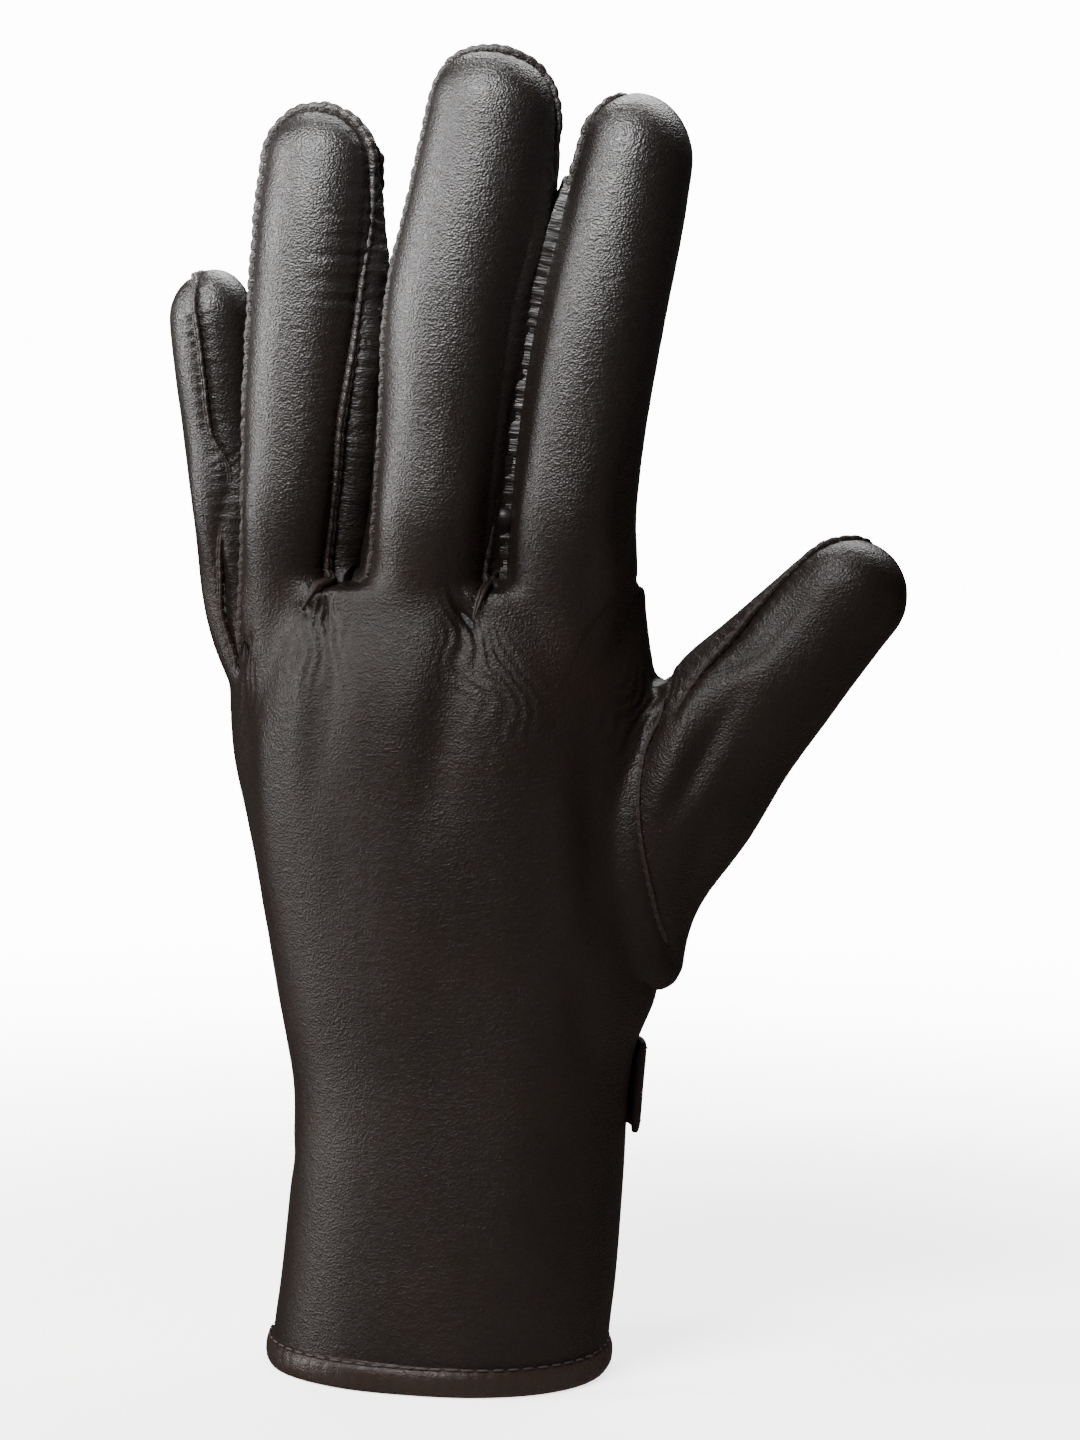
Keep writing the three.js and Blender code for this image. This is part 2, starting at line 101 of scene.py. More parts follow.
def new_material(name):
    """A material, its node tree and its shader."""
    material = bpy.data.materials.new(name)
    material.use_nodes = True
    return material, material.node_tree, material.node_tree.nodes["Principled BSDF"]


def soft_light(name, place, aim, width, height, power):
    """A softbox at a place, turned to the point it lights; the camera doesn't see it."""
    data = bpy.data.lights.new(name, "AREA")
    data.shape = "RECTANGLE"
    data.size = width
    data.size_y = height
    data.energy = power
    lamp = bpy.data.objects.new(name, data)
    bpy.context.scene.collection.objects.link(lamp)
    lamp.location = place
    lamp.rotation_euler = (Vector(aim) - Vector(place)).to_track_quat("-Z", "Y").to_euler()
    lamp.visible_camera = False


soft_light("left_softbox", (-0.68, -0.20, 0.26), (0, 0, 0.12), 0.15, 0.7, 11.0)
soft_light("key_softbox", (-0.27, -0.66, 0.80), (0, 0, 0.21), 0.40, 0.46, 24)
soft_light("floor_light", (0.0, 0.55, 0.9), (0, 0.1, 0.0), 0.8, 0.5, 16)

# The room: white where it is seen behind the glove, dim for what the leather mirrors, as if
# black cards stood round the glove.
world = bpy.data.worlds.new("pale_studio")
world.use_nodes = True
room = world.node_tree
mirrored = room.nodes["Background"]
mirrored.inputs["Color"].default_value = linear("#F4F4F4")
mirrored.inputs["Strength"].default_value = 0.045
seen = node(room, "ShaderNodeBackground", in_Color=linear("#FFFFFF"), in_Strength=14.0)
to_camera = node(room, "ShaderNodeLightPath")
both = node(room, "ShaderNodeMixShader",
            {0: to_camera.outputs["Is Camera Ray"], 1: mirrored.outputs[0], 2: seen.outputs[0]})
room.links.new(both.outputs[0], room.nodes["World Output"].inputs["Surface"])
bpy.context.scene.world = world

# The floor is a sheet of matt white paper, lit through from below, whose edge melts away into the
# room. The leather doesn't mirror it.
PAPER_RADIUS = 0.55
PAPER_SOLID = 0.12
PAPER_SIDES = 96
floor_material, paper_tree, paper = new_material("matt_white_paper")
paper.inputs["Base Color"].default_value = linear("#F6F5F3")
paper.inputs["Roughness"].default_value = 0.9
paper.inputs["Emission Color"].default_value = linear("#FFFFFF")
paper.inputs["Emission Strength"].default_value = 2.4
place = node(paper_tree, "ShaderNodeTexCoord")
distance = node(paper_tree, "ShaderNodeVectorMath", {0: place.outputs["Object"]}, operation="LENGTH")
solid_part = node(paper_tree, "ShaderNodeMapRange", {"Value": distance.outputs["Value"]},
                  interpolation_type="SMOOTHSTEP", in_From_Min=PAPER_SOLID, in_From_Max=PAPER_RADIUS,
                  in_To_Min=1.0, in_To_Max=0.0)
paper_tree.links.new(solid_part.outputs[0], paper.inputs["Alpha"])
floor_mesh = bpy.data.meshes.new("paper_floor")
paper_turns = np.linspace(0, 2 * math.pi, PAPER_SIDES, endpoint=False)
paper_edge = [(PAPER_RADIUS * math.cos(a), PAPER_RADIUS * math.sin(a), 0.0) for a in paper_turns]
floor_mesh.from_pydata(paper_edge, [], [tuple(range(PAPER_SIDES))])
floor_mesh.materials.append(floor_material)
floor = bpy.data.objects.new("paper_floor", floor_mesh)
floor.visible_glossy = False
bpy.context.scene.collection.objects.link(floor)


# ---------------------------------------------------------------- the filled form of the hand
# The glove is shown filled out. Its form is the hand's body, four fingers and the thumb, each
# lofted through its cross sections, and all are melted together where the leather bridges them.

MM = 0.001
CUFF_FROM_CENTRE = -17.55
WEB_HEIGHT = 156
WEB_DROP = 11
FULLNESS = 2.3

# The hand, row by row: height, centre x, half width, centre y and half depth in millimetres.
HAND_ROWS = [
    [-3, 1.2, 33.5, 0, 26.7],
    [0, 1.2, 33.5, 0, 26.5],
    [20, 3.2, 33.4, 0, 25.2],
    [38, 4.6, 33.2, 0, 23.8],
    [57, 5.2, 33.4, 0.5, 22.5],
    [76, 4.2, 36.3, 1, 22],
    [95, 3.4, 39.0, 1.5, 21.5],
    [115, 0.5, 42.0, 1.5, 20.3],
    [134, -2.3, 45.0, 1, 18.2],
    [146, -4.0, 45.2, 0.4, 15.0],
    [158, -5.6, 45.0, -0.6, 10.6],
]

# The fingers. Each row: centre x, y and z, half width and half depth. The turn, in degrees, is how
# far the palm side looks out; the zones are where each joint bends, the splits where lengths meet.
LIMBS = {
    "index": {
        "turn": 0,
        "tip": [39.4, 1.5, 251],
        "zones": [(159, 181), (186, 208), (217, 231)],
        "splits": [183.5, 212.5],
        "rows": [
            [22.5, 0.5, 120, 10.5, 8.5],
            [24.5, -1, 138, 12.2, 11.2],
            [26.7, -2, 165, 12, 11.2],
            [29.4, -3, 190, 12, 11.1],
            [32.6, -2.5, 211, 12.1, 10.9],
            [36.2, -1, 229, 11.7, 10.4],
            [38.1, 0, 239, 11, 9.8],
        ],
    },
    "middle": {
        "turn": 0,
        "tip": [12.6, -2.5, 260],
        "zones": [(160, 182), (191, 213), (225, 239)],
        "splits": [186.5, 219],
        "rows": [
            [-4.5, -2.5, 120, 10.5, 9],
            [-2.5, -4, 138, 12.2, 11.6],
            [0.4, -5, 165, 12.2, 11.6],
            [2.5, -6, 190, 12.5, 11.6],
            [4.4, -6, 211, 13.4, 11.4],
            [8.3, -5, 229, 13.4, 11],
            [11.3, -3.8, 247, 12.8, 10.2],
        ],
    },
    "ring": {
        "turn": 12,
        "tip": [-24, 2, 248.8],
        "zones": [(159, 181), (184, 206), (215, 229)],
        "splits": [182.5, 210.5],
        "rows": [
            [-31, 1.5, 120, 8.5, 7.5],
            [-30, 0, 138, 10.2, 10.3],
            [-29, -1, 165, 10.3, 10.5],
            [-27.2, -2, 190, 11.6, 10.8],
            [-25.9, -1.5, 211, 12.1, 10.7],
            [-24.8, -0.5, 229, 12.2, 10.3],
            [-24.3, 0.5, 237.5, 11.9, 9.7],
        ],
    },
    "little": {
        "turn": 12,
        "tip": [-50.4, 9, 216.5],
        "zones": [(149.5, 163.5), (166, 184), (189, 199)],
        "splits": [164.5, 186.5],
        "rows": [
            [-34, 8.5, 116, 4, 4],
            [-37, 10.2, 129, 6.3, 6.3],
            [-43.7, 13.4, 148, 8.3, 8],
            [-45.7, 13.2, 165, 8.4, 8.1],
            [-47.5, 11.5, 185, 8.5, 8.1],
            [-49.1, 9.8, 200, 8.5, 8],
            [-49.9, 9.3, 207, 8.3, 7.8],
        ],
    },
    "thumb": {
        "turn": 0,
        "tip": [87.2, 9, 163.7],
        "zones": [(146, 160)],
        "splits": [],
        "rows": [
            [28.5, 5, 88, 19, 14],
            [36, 6, 102, 18, 15],
            [47.9, 7, 117.5, 16.8, 14.6],
            [54.3, 7.5, 126.7, 15.9, 13.2],
            [66.4, 8, 140.6, 13.7, 11.8],
            [79.1, 8.6, 155, 11.7, 10],
        ],
    },
}
THUMB_AXIS = np.array([0.661, 0.0, 0.750])
FINGER_AXIS = np.array([0.0, 0.0, 1.0])


def through(stations, values, at):
    """A smooth curve through values at their stations, read at other stations."""
    stations = np.asarray(stations, float)
    values = np.asarray(values, float)
    at = np.clip(np.asarray(at, float), stations[0], stations[-1])
    slope = np.gradient(values, stations, axis=0)
    k = np.clip(np.searchsorted(stations, at) - 1, 0, len(stations) - 2)
    step = stations[k + 1] - stations[k]
    t = (at - stations[k]) / step
    if values.ndim > 1:
        t = t[..., None]
        step = step[..., None]
    return ((2 * t**3 - 3 * t**2 + 1) * values[k] + (t**3 - 2 * t**2 + t) * step * slope[k]
            + (3 * t**2 - 2 * t**3) * values[k + 1] + (t**3 - t**2) * step * slope[k + 1])


def smoothstep(value, low, high):
    t = np.clip((np.asarray(value, float) - low) / (high - low), 0, 1)
    return t * t * (3 - 2 * t)


def unit(vectors):
    vectors = np.asarray(vectors, float)
    return vectors / np.maximum(np.linalg.norm(vectors, axis=-1, keepdims=True), 1e-9)


hand_table = np.array(HAND_ROWS, float)


def arch(x, z):
    """The knuckles arch: both edges curve to the palm side, the little-finger edge most."""
    return smoothstep(z, 60, 150) * (-4 + 0.0044 * x * x + 0.02 * np.maximum(0, -x - 22) ** 2)


def web_top(x):
    """The height of the web between the fingers, lower towards the little finger."""
    return WEB_HEIGHT - WEB_DROP * smoothstep(-x, 24, 40)


def hand_outline(angle, z):
    """A point of the hand's outline at a height: angle 0 is the thumb edge, a quarter turn the palm."""
    section = through(hand_table[:, 0], hand_table[:, 1:], z)
    power = 2 / FULLNESS
    c, s = np.cos(angle), np.sin(angle)
    x = section[..., 0] + section[..., 1] * np.sign(c) * np.abs(c) ** power
    y = section[..., 2] + section[..., 3] * np.sign(s) * np.abs(s) ** power + arch(x, z)
    return np.stack([x, y, np.broadcast_to(z, x.shape)], -1)


def hand_normal(angle, z):
    """The direction out of the outline, level."""
    along = hand_outline(angle + 0.06, z) - hand_outline(angle - 0.06, z)
    return unit(np.stack([along[..., 1], -along[..., 0], 0 * along[..., 0]], -1))


def limb_table(limb):
    """Dense samples of a finger or thumb along its axis: centre, directions and half sizes."""
    rows = np.array(limb["rows"], float)
    axis = THUMB_AXIS if limb is LIMBS["thumb"] else FINGER_AXIS
    stations = rows[:, :3] @ axis
    s = np.linspace(stations[0], stations[-1], 160)
    centre = through(stations, rows[:, :3], s)
    size = through(stations, rows[:, 3:], s)
    along = unit(np.gradient(centre, s, axis=0))
    turn = math.radians(limb["turn"])
    palmward = np.array([math.sin(turn), math.cos(turn), 0.0])
    wide = unit(np.cross(palmward, along))
    deep = np.cross(along, wide)
    tip = np.array(limb["tip"], float)
    reach = tip - centre[-1]
    return {
        "axis": axis, "s": s, "centre": centre, "size": size, "along": along, "wide": wide,
        "deep": deep, "palmward": palmward, "tip_length": float(np.linalg.norm(reach)),
        "reach": unit(reach), "end": float(stations[-1]), "top": float(tip @ axis),
    }


tables = {name: limb_table(limb) for name, limb in LIMBS.items()}


def read_table(table, key, s):
    """One column group of a finger's table at stations along its axis."""
    return np.stack([np.interp(s, table["s"], table[key][:, k]) for k in range(table[key].shape[1])], -1)


def limb_point(name, s, angle, proud=0.0):
    """A point on a finger's outline at a station and an angle in degrees: 0 its inner side, 90 its palm."""
    t = tables[name]
    s = np.asarray(s, float)
    angle = np.radians(angle)
    rise = np.arcsin(np.clip((s - t["end"]) / (t["top"] - t["end"]), 0, 1))
    centre, wide, deep, size = (read_table(t, key, s) for key in ("centre", "wide", "deep", "size"))
    half = (size + proud) * np.cos(rise)[..., None]
    point = centre + t["reach"] * (np.sin(rise) * (t["tip_length"] + proud))[..., None]
    across = wide * (half[..., 0] * np.cos(angle))[..., None]
    return point + across + deep * (half[..., 1] * np.sin(angle))[..., None]


def closed_loft(rings):
    """A closed body from rings of equal counts, each end shut by strips between facing points."""
    rings = np.asarray(rings)
    count, sides = rings.shape[:2]
    faces = []
    for r in range(count - 1):
        for k in range(sides):
            n = (k + 1) % sides
            faces.append((r * sides + k, r * sides + n, (r + 1) * sides + n, (r + 1) * sides + k))
    for base, flip in ((0, True), ((count - 1) * sides, False)):
        for k in range(sides // 2):
            a, b, c, d = base + k, base + k + 1, base + (sides - k - 1) % sides, base + (sides - k) % sides
            strip = [v for i, v in enumerate((a, b, c, d)) if v not in (a, b, c, d)[:i]]
            if len(strip) > 2:
                faces.append(tuple(reversed(strip)) if flip else tuple(strip))
    return rings.reshape(-1, 3), faces


def form_bodies(inset):
    """The hand, the fingers and the thumb as closed bodies, all moved in by an inset."""
    angles = np.linspace(0, 2 * np.pi, 120, endpoint=False)
    bodies = []
    rings = []
    for share in np.linspace(-0.02, 1, 90):
        flat = hand_outline(angles, share * WEB_HEIGHT) - hand_normal(angles, share * WEB_HEIGHT) * inset
        flat[:, 2] = share * (web_top(flat[:, 0]) - inset)
        rings.append(flat)
    bodies.append(closed_loft(rings))
    for name, t in tables.items():
        angles = np.linspace(0, 360, 72, endpoint=False)
        stations = list(np.linspace(t["s"][0], t["end"], 46))
        cap = t["top"] - t["end"]
        stations += [t["end"] + cap * math.sin(a) for a in np.linspace(0.08, math.pi / 2 - 0.02, 16)]
        bodies.append(closed_loft([limb_point(name, np.full(72, s), angles, -inset) for s in stations]))
    return bodies


def plain_mesh(name, points, faces):
    """A mesh from points in millimetres about the cuff's axis."""
    made = bpy.data.meshes.new(name)
    placed = (np.asarray(points, float) + [CUFF_FROM_CENTRE, 0, 0]) * MM
    made.from_pydata(placed.tolist(), [], faces)
    made.update()
    return made


def evaluated(mesh, *modifiers):
    """The mesh after modifiers, as plain points in millimetres and quads."""
    holder = bpy.data.objects.new("form", mesh)
    bpy.context.scene.collection.objects.link(holder)
    for kind, settings in modifiers:
        modifier = holder.modifiers.new(kind.lower(), kind)
        for key, value in settings.items():
            setattr(modifier, key, value)
    done = bpy.data.meshes.new_from_object(holder.evaluated_get(bpy.context.evaluated_depsgraph_get()))
    bpy.data.objects.remove(holder)
    points = np.zeros(len(done.vertices) * 3)
    done.vertices.foreach_get("co", points)
    corners = np.zeros(len(done.loops), int)
    done.loops.foreach_get("vertex_index", corners)
    starts = np.zeros(len(done.polygons), int)
    done.polygons.foreach_get("loop_start", starts)
    totals = np.zeros(len(done.polygons), int)
    done.polygons.foreach_get("loop_total", totals)
    faces = corners[starts[totals == 4][:, None] + np.arange(4)]
    return points.reshape(-1, 3) / MM - [CUFF_FROM_CENTRE, 0, 0], faces


def neighbour_mean(points, faces):
    """Each point's mean of the points it shares an edge with."""
    a = faces[:, [0, 1, 2, 3]].ravel()
    b = faces[:, [1, 2, 3, 0]].ravel()
    first, second = np.concatenate([a, b]), np.concatenate([b, a])
    count = np.bincount(first, minlength=len(points))
    total = np.stack([np.bincount(first, points[second, k], len(points)) for k in range(3)], -1)
    return total / np.maximum(count, 1)[:, None]


def melted_form(inset, voxel, rounds, subdivide):
    """One skin round all the bodies, its creases rounded off."""
    points, faces, used = [], [], 0
    for body_points, body_faces in form_bodies(inset):
        points.append(body_points)
        faces += [tuple(v + used for v in face) for face in body_faces]
        used += len(body_points)
    raw = plain_mesh("form", np.concatenate(points), faces)
    points, faces = evaluated(raw, ("REMESH", {"mode": "VOXEL", "voxel_size": voxel * MM, "adaptivity": 0}))
    for k in range(rounds):
        moved = points + 0.5 * (neighbour_mean(points, faces) - points)
        points = moved + 0.5 * (moved - neighbour_mean(moved, faces)) if k % 2 else moved
    for _ in range(2 * rounds):
        z = points[:, 2]
        soft = smoothstep(z, 118, 136) * (1 - smoothstep(z, 158, 168)) * 0.6
        soft = soft * smoothstep(points[:, 0], -40, -30) * (1 - smoothstep(points[:, 0], 32, 42))
        points = points + soft[:, None] * (neighbour_mean(points, faces) - points)
    if subdivide:
        settings = {"levels": 1, "subdivision_type": "CATMULL_CLARK"}
        coarse = plain_mesh("form", points, [tuple(f) for f in faces.tolist()])
        points, faces = evaluated(coarse, ("SUBSURF", settings))
    return points, faces


def point_normals(points, faces):
    """Smooth normals of a quad mesh."""
    diagonal = np.cross(points[faces[:, 2]] - points[faces[:, 0]], points[faces[:, 3]] - points[faces[:, 1]])
    total = np.zeros_like(points)
    for corner in range(4):
        for k in range(3):
            total[:, k] += np.bincount(faces[:, corner], diagonal[:, k], len(points))
    return unit(total)


skin_points, skin_faces = melted_form(inset=0.0, voxel=1.0, rounds=8, subdivide=True)
skin_normals = point_normals(skin_points, skin_faces)
smooth_skin = BVHTree.FromPolygons(skin_points.tolist(), skin_faces.tolist())


def limb_reading(name, points):
    """Station, angle in degrees and share of the radius of points about one finger's axis."""
    t = tables[name]
    s = points @ t["axis"]
    away = points - read_table(t, "centre", s)
    size = read_table(t, "size", s)
    w = np.sum(away * read_table(t, "wide", s), -1) / size[:, 0]
    d = np.sum(away * read_table(t, "deep", s), -1) / size[:, 1]
    return s, np.degrees(np.arctan2(d, w)), np.hypot(w, d)


FINGERS = ("index", "middle", "ring", "little")


def owners(points):
    """Which length of which finger each point belongs to: name and 0 to 2, or the hand."""
    best = np.full(len(points), 1.45)
    limb = np.full(len(points), -1)
    length = np.zeros(len(points), int)
    for k, name in enumerate(FINGERS):
        s, _, share = limb_reading(name, points)
        inside = (s > LIMBS[name]["zones"][0][0]) & (share < best)
        best[inside] = share[inside]
        limb[inside] = k
        length[inside] = np.searchsorted(LIMBS[name]["splits"], s[inside])
    s, _, share = limb_reading("thumb", points)
    tip = (s > 141) & (points[:, 0] > 50) & (points[:, 2] < 178) & (share < 1.5)
    limb[tip] = 4
    return limb, length


# ---------------------------------------------------------------- where the seams run
# The pieces are sewn with their cut edges outside, so that each seam is a narrow raised rim. A rim
# runs up both edges of every side strip, over the fingertips, and round the root of the thumb.

RIM_STEP = 0.3

# Stations and angles of the finger seams, from the crotch on the back, over the tip.
FINGER_SEAMS = {
    "index": [
        [(152, 196), (165, 194), (190, 194), (211, 195), (229, 196), (239, 198), (246, 200), (249.6, 190),
         (249.5, 130), (245, 125), (237, 140), (225, 146), (200, 146), (170, 146), (152, 150)],
    ],
    "middle": [
        [(150, 202), (160, 197), (176, 195), (191, 194), (211, 193), (228, 192), (240, 190), (249, 190),
         (256, 192), (259, 250), (259, 290), (256, 352), (249, 358), (240, 360), (228, 362), (214, 352),
         (191, 352), (170, 346), (158, 340), (150, 334)],
        [(152, 145), (170, 145), (200, 145), (230, 148), (244, 158), (251, 172)],
        [(152, 35), (170, 35), (200, 35), (230, 30), (244, 20), (250, 4)],
    ],
    "ring": [
        [(140, 206), (155, 205), (172, 204), (205, 204), (220, 204), (234, 203), (241, 204), (246, 215),
         (248, 250), (248, 300), (246, 338), (240, 352), (227, 357), (217, 351), (206, 347), (187, 338),
         (176, 340), (160, 338), (150, 334)],
        [(146, 145), (170, 145), (200, 145), (225, 150), (238, 165), (243, 190)],
        [(152, 38), (170, 35), (200, 35), (225, 30), (238, 18), (242, 0)],
    ],
    "little": [
        [(137, 262), (149, 262), (155, 268), (161, 271), (168, 282), (175, 296), (178, 297), (184, 279),
         (196, 277), (205, 277), (211, 272), (214.5, 265), (216, 200), (215, 100), (211, 62), (200, 48),
         (180, 44), (160, 42), (147, 42)],
    ],
    "thumb": [
        [(131, 238), (136, 232), (141, 226), (148, 221), (156, 212), (164, 204), (171, 200), (176, 192),
         (179, 150), (178, 120), (170, 130), (155, 138), (140, 142), (130, 146)],
    ],
}
RIM_SIZES = {"index": 0.82, "middle": 0.92, "ring": 1.1, "little": 0.75, "thumb": 0.7}


def resampled(points, step):
    """A smooth line through points, with points every step."""
    points = np.asarray(points, float)
    chord = np.concatenate([[0], np.cumsum(np.linalg.norm(np.diff(points, axis=0), axis=1))])
    fine = through(chord, points, np.linspace(0, chord[-1], max(8, int(chord[-1] / 0.2))))
    run = np.concatenate([[0], np.cumsum(np.linalg.norm(np.diff(fine, axis=0), axis=1))])
    at = np.linspace(0, run[-1], max(4, int(run[-1] / step)))
    return np.stack([np.interp(at, run, fine[:, k]) for k in range(3)], -1)


def on_skin(points, rounds=3):
    """Points moved onto the skin and their normals, evened out along the line."""
    points = np.array(points, float)
    for _ in range(rounds):
        points = np.array([smooth_skin.find_nearest(p)[0] for p in points.tolist()])
        points[1:-1] = 0.25 * points[:-2] + 0.5 * points[1:-1] + 0.25 * points[2:]
    found = [smooth_skin.find_nearest(p) for p in points.tolist()]
    normals = np.array([f[1] for f in found])
    for _ in range(6):
        normals[1:-1] = unit(0.25 * normals[:-2] + 0.5 * normals[1:-1] + 0.25 * normals[2:])
    return np.array([f[0] for f in found]), unit(normals)


seams = []
for name, lines in FINGER_SEAMS.items():
    for line in lines:
        stations = np.array(line, float)
        guide = limb_point(name, stations[:, 0], stations[:, 1])
        place, out = on_skin(resampled(guide, RIM_STEP))
        seams.append({"name": name, "place": place, "out": out, "size": RIM_SIZES[name]})

# The thumb's root seam: down the back of the hand, round the heel of the thumb and up the palm.
THUMB_ROOT = [
    (46.0, 0, 134.5), (44.4, -4, 132.5), (42.6, -6, 128), (42.0, -7, 118), (43.0, -7, 105), (46.0, -5, 92),
    (49.0, -1, 84), (47.5, 6, 78), (41, 17, 78), (33, 22, 86), (27, 23, 98), (27, 23, 112), (31, 21, 125),
    (37, 15, 132), (43, 7, 135),
]
place, out = on_skin(resampled(THUMB_ROOT, RIM_STEP))
seams.append({"name": "hand", "place": place, "out": out, "size": 0.55})

# The closing seam of the hand runs down the palm side of the little-finger edge.
side_guide = [hand_outline(math.radians(156), z) for z in (142, 130, 110, 90, 70, 50, 30, 12, 7)]
place, out = on_skin(resampled(np.array(side_guide), RIM_STEP))
seams.append({"name": "hand", "place": place, "out": out, "size": 0.7})


# ---------------------------------------------------------------- leather skin
# The leather is one hide of smooth nappa, about 1.2 mm thick, cut into the hand, side strips and
# thumb. It is stretched smooth on the backs and gathers in fine creases along each seam.

seam_tree = KDTree(sum(len(seam["place"]) for seam in seams))
seam_of, arc_of = [], []
for number, seam in enumerate(seams):
    run = np.concatenate([[0], np.cumsum(np.linalg.norm(np.diff(seam["place"], axis=0), axis=1))])
    for p, a in zip(seam["place"].tolist(), run.tolist()):
        seam_tree.insert(p, len(seam_of))
        seam_of.append(number)
        arc_of.append(a)
seam_tree.balance()
nearest = [seam_tree.find(p) for p in skin_points.tolist()]
seam_distance = np.array([n[2] for n in nearest])
seam_index = np.array([n[1] for n in nearest])
seam_number = np.array(seam_of)[seam_index]
seam_arc = np.array(arc_of)[seam_index]


def noise_field(points, scales, seed):
    """Smooth noise from -1 to 1, with its size along x, y and z in millimetres."""
    shifted = points / np.asarray(scales, float) + seed
    return np.array([noise.noise(p) for p in shifted.tolist()])


seam_limb = np.array([seams[n]["name"] for n in seam_number])
seam_size = np.array([seams[n]["size"] for n in seam_number])
on_finger = np.isin(seam_limb, [*FINGERS, "thumb"])
x, y, z = skin_points.T
lift = np.zeros(len(skin_points))

# A groove under each rim, and the leather puffed out between the seams.
lift -= 0.75 * seam_size * np.exp(-(seam_distance / 1.5) ** 2)
lift += np.where(on_finger, 0.30 * (1 - np.exp(-(seam_distance / 5) ** 2)), 0) * smoothstep(z, 128, 165)

# Short creases that run off the seams, where the sewing draws the leather in.
crease_noise = noise_field(skin_points, (7, 7, 7), 3.1)
draw = np.sin(2 * np.pi * (seam_arc / 2.6 + 0.9 * crease_noise))
ripple = np.where(seam_limb == "ring", 0.24, np.where(seam_limb == "hand", 0.05, 0.11))
strength = 0.4 + np.abs(noise_field(skin_points, (12, 12, 9), 8.7))
lift += ripple * draw * np.exp(-(seam_distance / 3.2) ** 2) * strength

# Longer cross wrinkles on the thumb-side half of the ring finger.
ring_s, ring_angle, ring_share = limb_reading("ring", skin_points)
thumb_side = smoothstep(ring_angle, -85, -30) * (1 - smoothstep(ring_angle, 10, 30))
cross = np.exp(-((ring_s - 218) / 13) ** 2) * thumb_side * (ring_share < 1.3) * (x < -8)
waves = noise_field(skin_points, (16, 16, 1.5), 5.3)
lift += 0.42 * cross * waves

# Broad unevenness of a hide over a hand, longest along the fingers and the cuff.
calm = 0.35 + 0.65 * smoothstep(z, 60, 110)
lift += 0.45 * calm * noise_field(skin_points, (17, 17, 46), 1.7)
lift += 0.10 * calm * noise_field(skin_points, (6, 6, 16), 12.4)


def fold(start, end, height, width):
    """A soft ridge or valley on the back of the glove, along a line from x and z to x and z."""
    a, b = np.array(start, float), np.array(end, float)
    flat = np.stack([x, z], -1)
    t = np.clip((flat - a) @ (b - a) / ((b - a) @ (b - a)), 0, 1)
    gap = np.linalg.norm(flat - a - t[:, None] * (b - a), axis=1)
    facing = smoothstep(-skin_normals[:, 1], 0.0, 0.35)
    taper = np.sin(np.pi * np.clip(t * 0.9 + 0.05, 0, 1)) ** 0.6
    return height * taper * facing * np.exp(-(gap / width) ** 2)


# The soft folds, each with its height and width. On the hand they are hollows between the
# knuckles and long waves down to the cuff.
for start, end, height, width in (
    ((10, 154), (4, 112), -1.5, 5.0),
    ((-17.5, 154), (-19, 118), -0.9, 4.5),
    ((-39, 146), (-38, 96), -1.1, 4.0),
    ((-34, 140), (-30, 84), 0.9, 4.5),
    ((2, 128), (-2, 60), 0.8, 12),
    ((33, 128), (35, 92), -0.8, 3.2),
    ((28, 118), (33, 80), 0.7, 4.0),
    ((31, 86), (35, 62), -0.6, 3.0),
    ((21, 64), (27, 20), 0.35, 7),
    ((-27, 44), (-31, 34), -0.7, 1.6),
    ((-28, 70), (-30, 46), 0.4, 3.0),
    # The thumb: two creases beside its upper seam, and a swelling over its root.
    ((73, 157), (64, 146), -0.7, 2.2),
    ((66, 146), (56, 141), -0.6, 1.8),
    ((60, 136), (48, 112), -0.9, 2.4),
    ((52, 138), (46, 116), 1.0, 3.4),
    ((56, 112), (50, 96), -0.6, 2.2),
):
    lift += fold(start, end, height, width)

# Gathers under the crotches: short pleats at the end of each seam, fine drawn lines below them.
for cx, cz, reach, lean in (
    (8.3, 153, 9, -0.45), (-20.0, 153, 7, -0.1), (44.5, 141, 6, 0.3), (-38.5, 143, 6, 0.2),
):
    across = (x - cx) - lean * (z - cz)
    down = cz - z
    near = np.exp(-(across / (3.0 + 0.35 * np.maximum(down, 0))) ** 2) * smoothstep(down, -5, 0)
    near *= np.exp(-(np.maximum(down, 0) / (1.7 * reach)) ** 1.5) * smoothstep(-skin_normals[:, 1], -0.1, 0.4)
    pleats = np.sin(2 * np.pi * (across / (1.7 + 0.10 * np.maximum(down, 0)) + 1.3 * crease_noise))
    lift += near * (0.34 * pleats - 0.25)
    lift -= 1.3 * np.exp(-((across / 1.5) ** 2 + ((down - 1.0) / 3.0) ** 2)) * (skin_normals[:, 1] < 0.3)

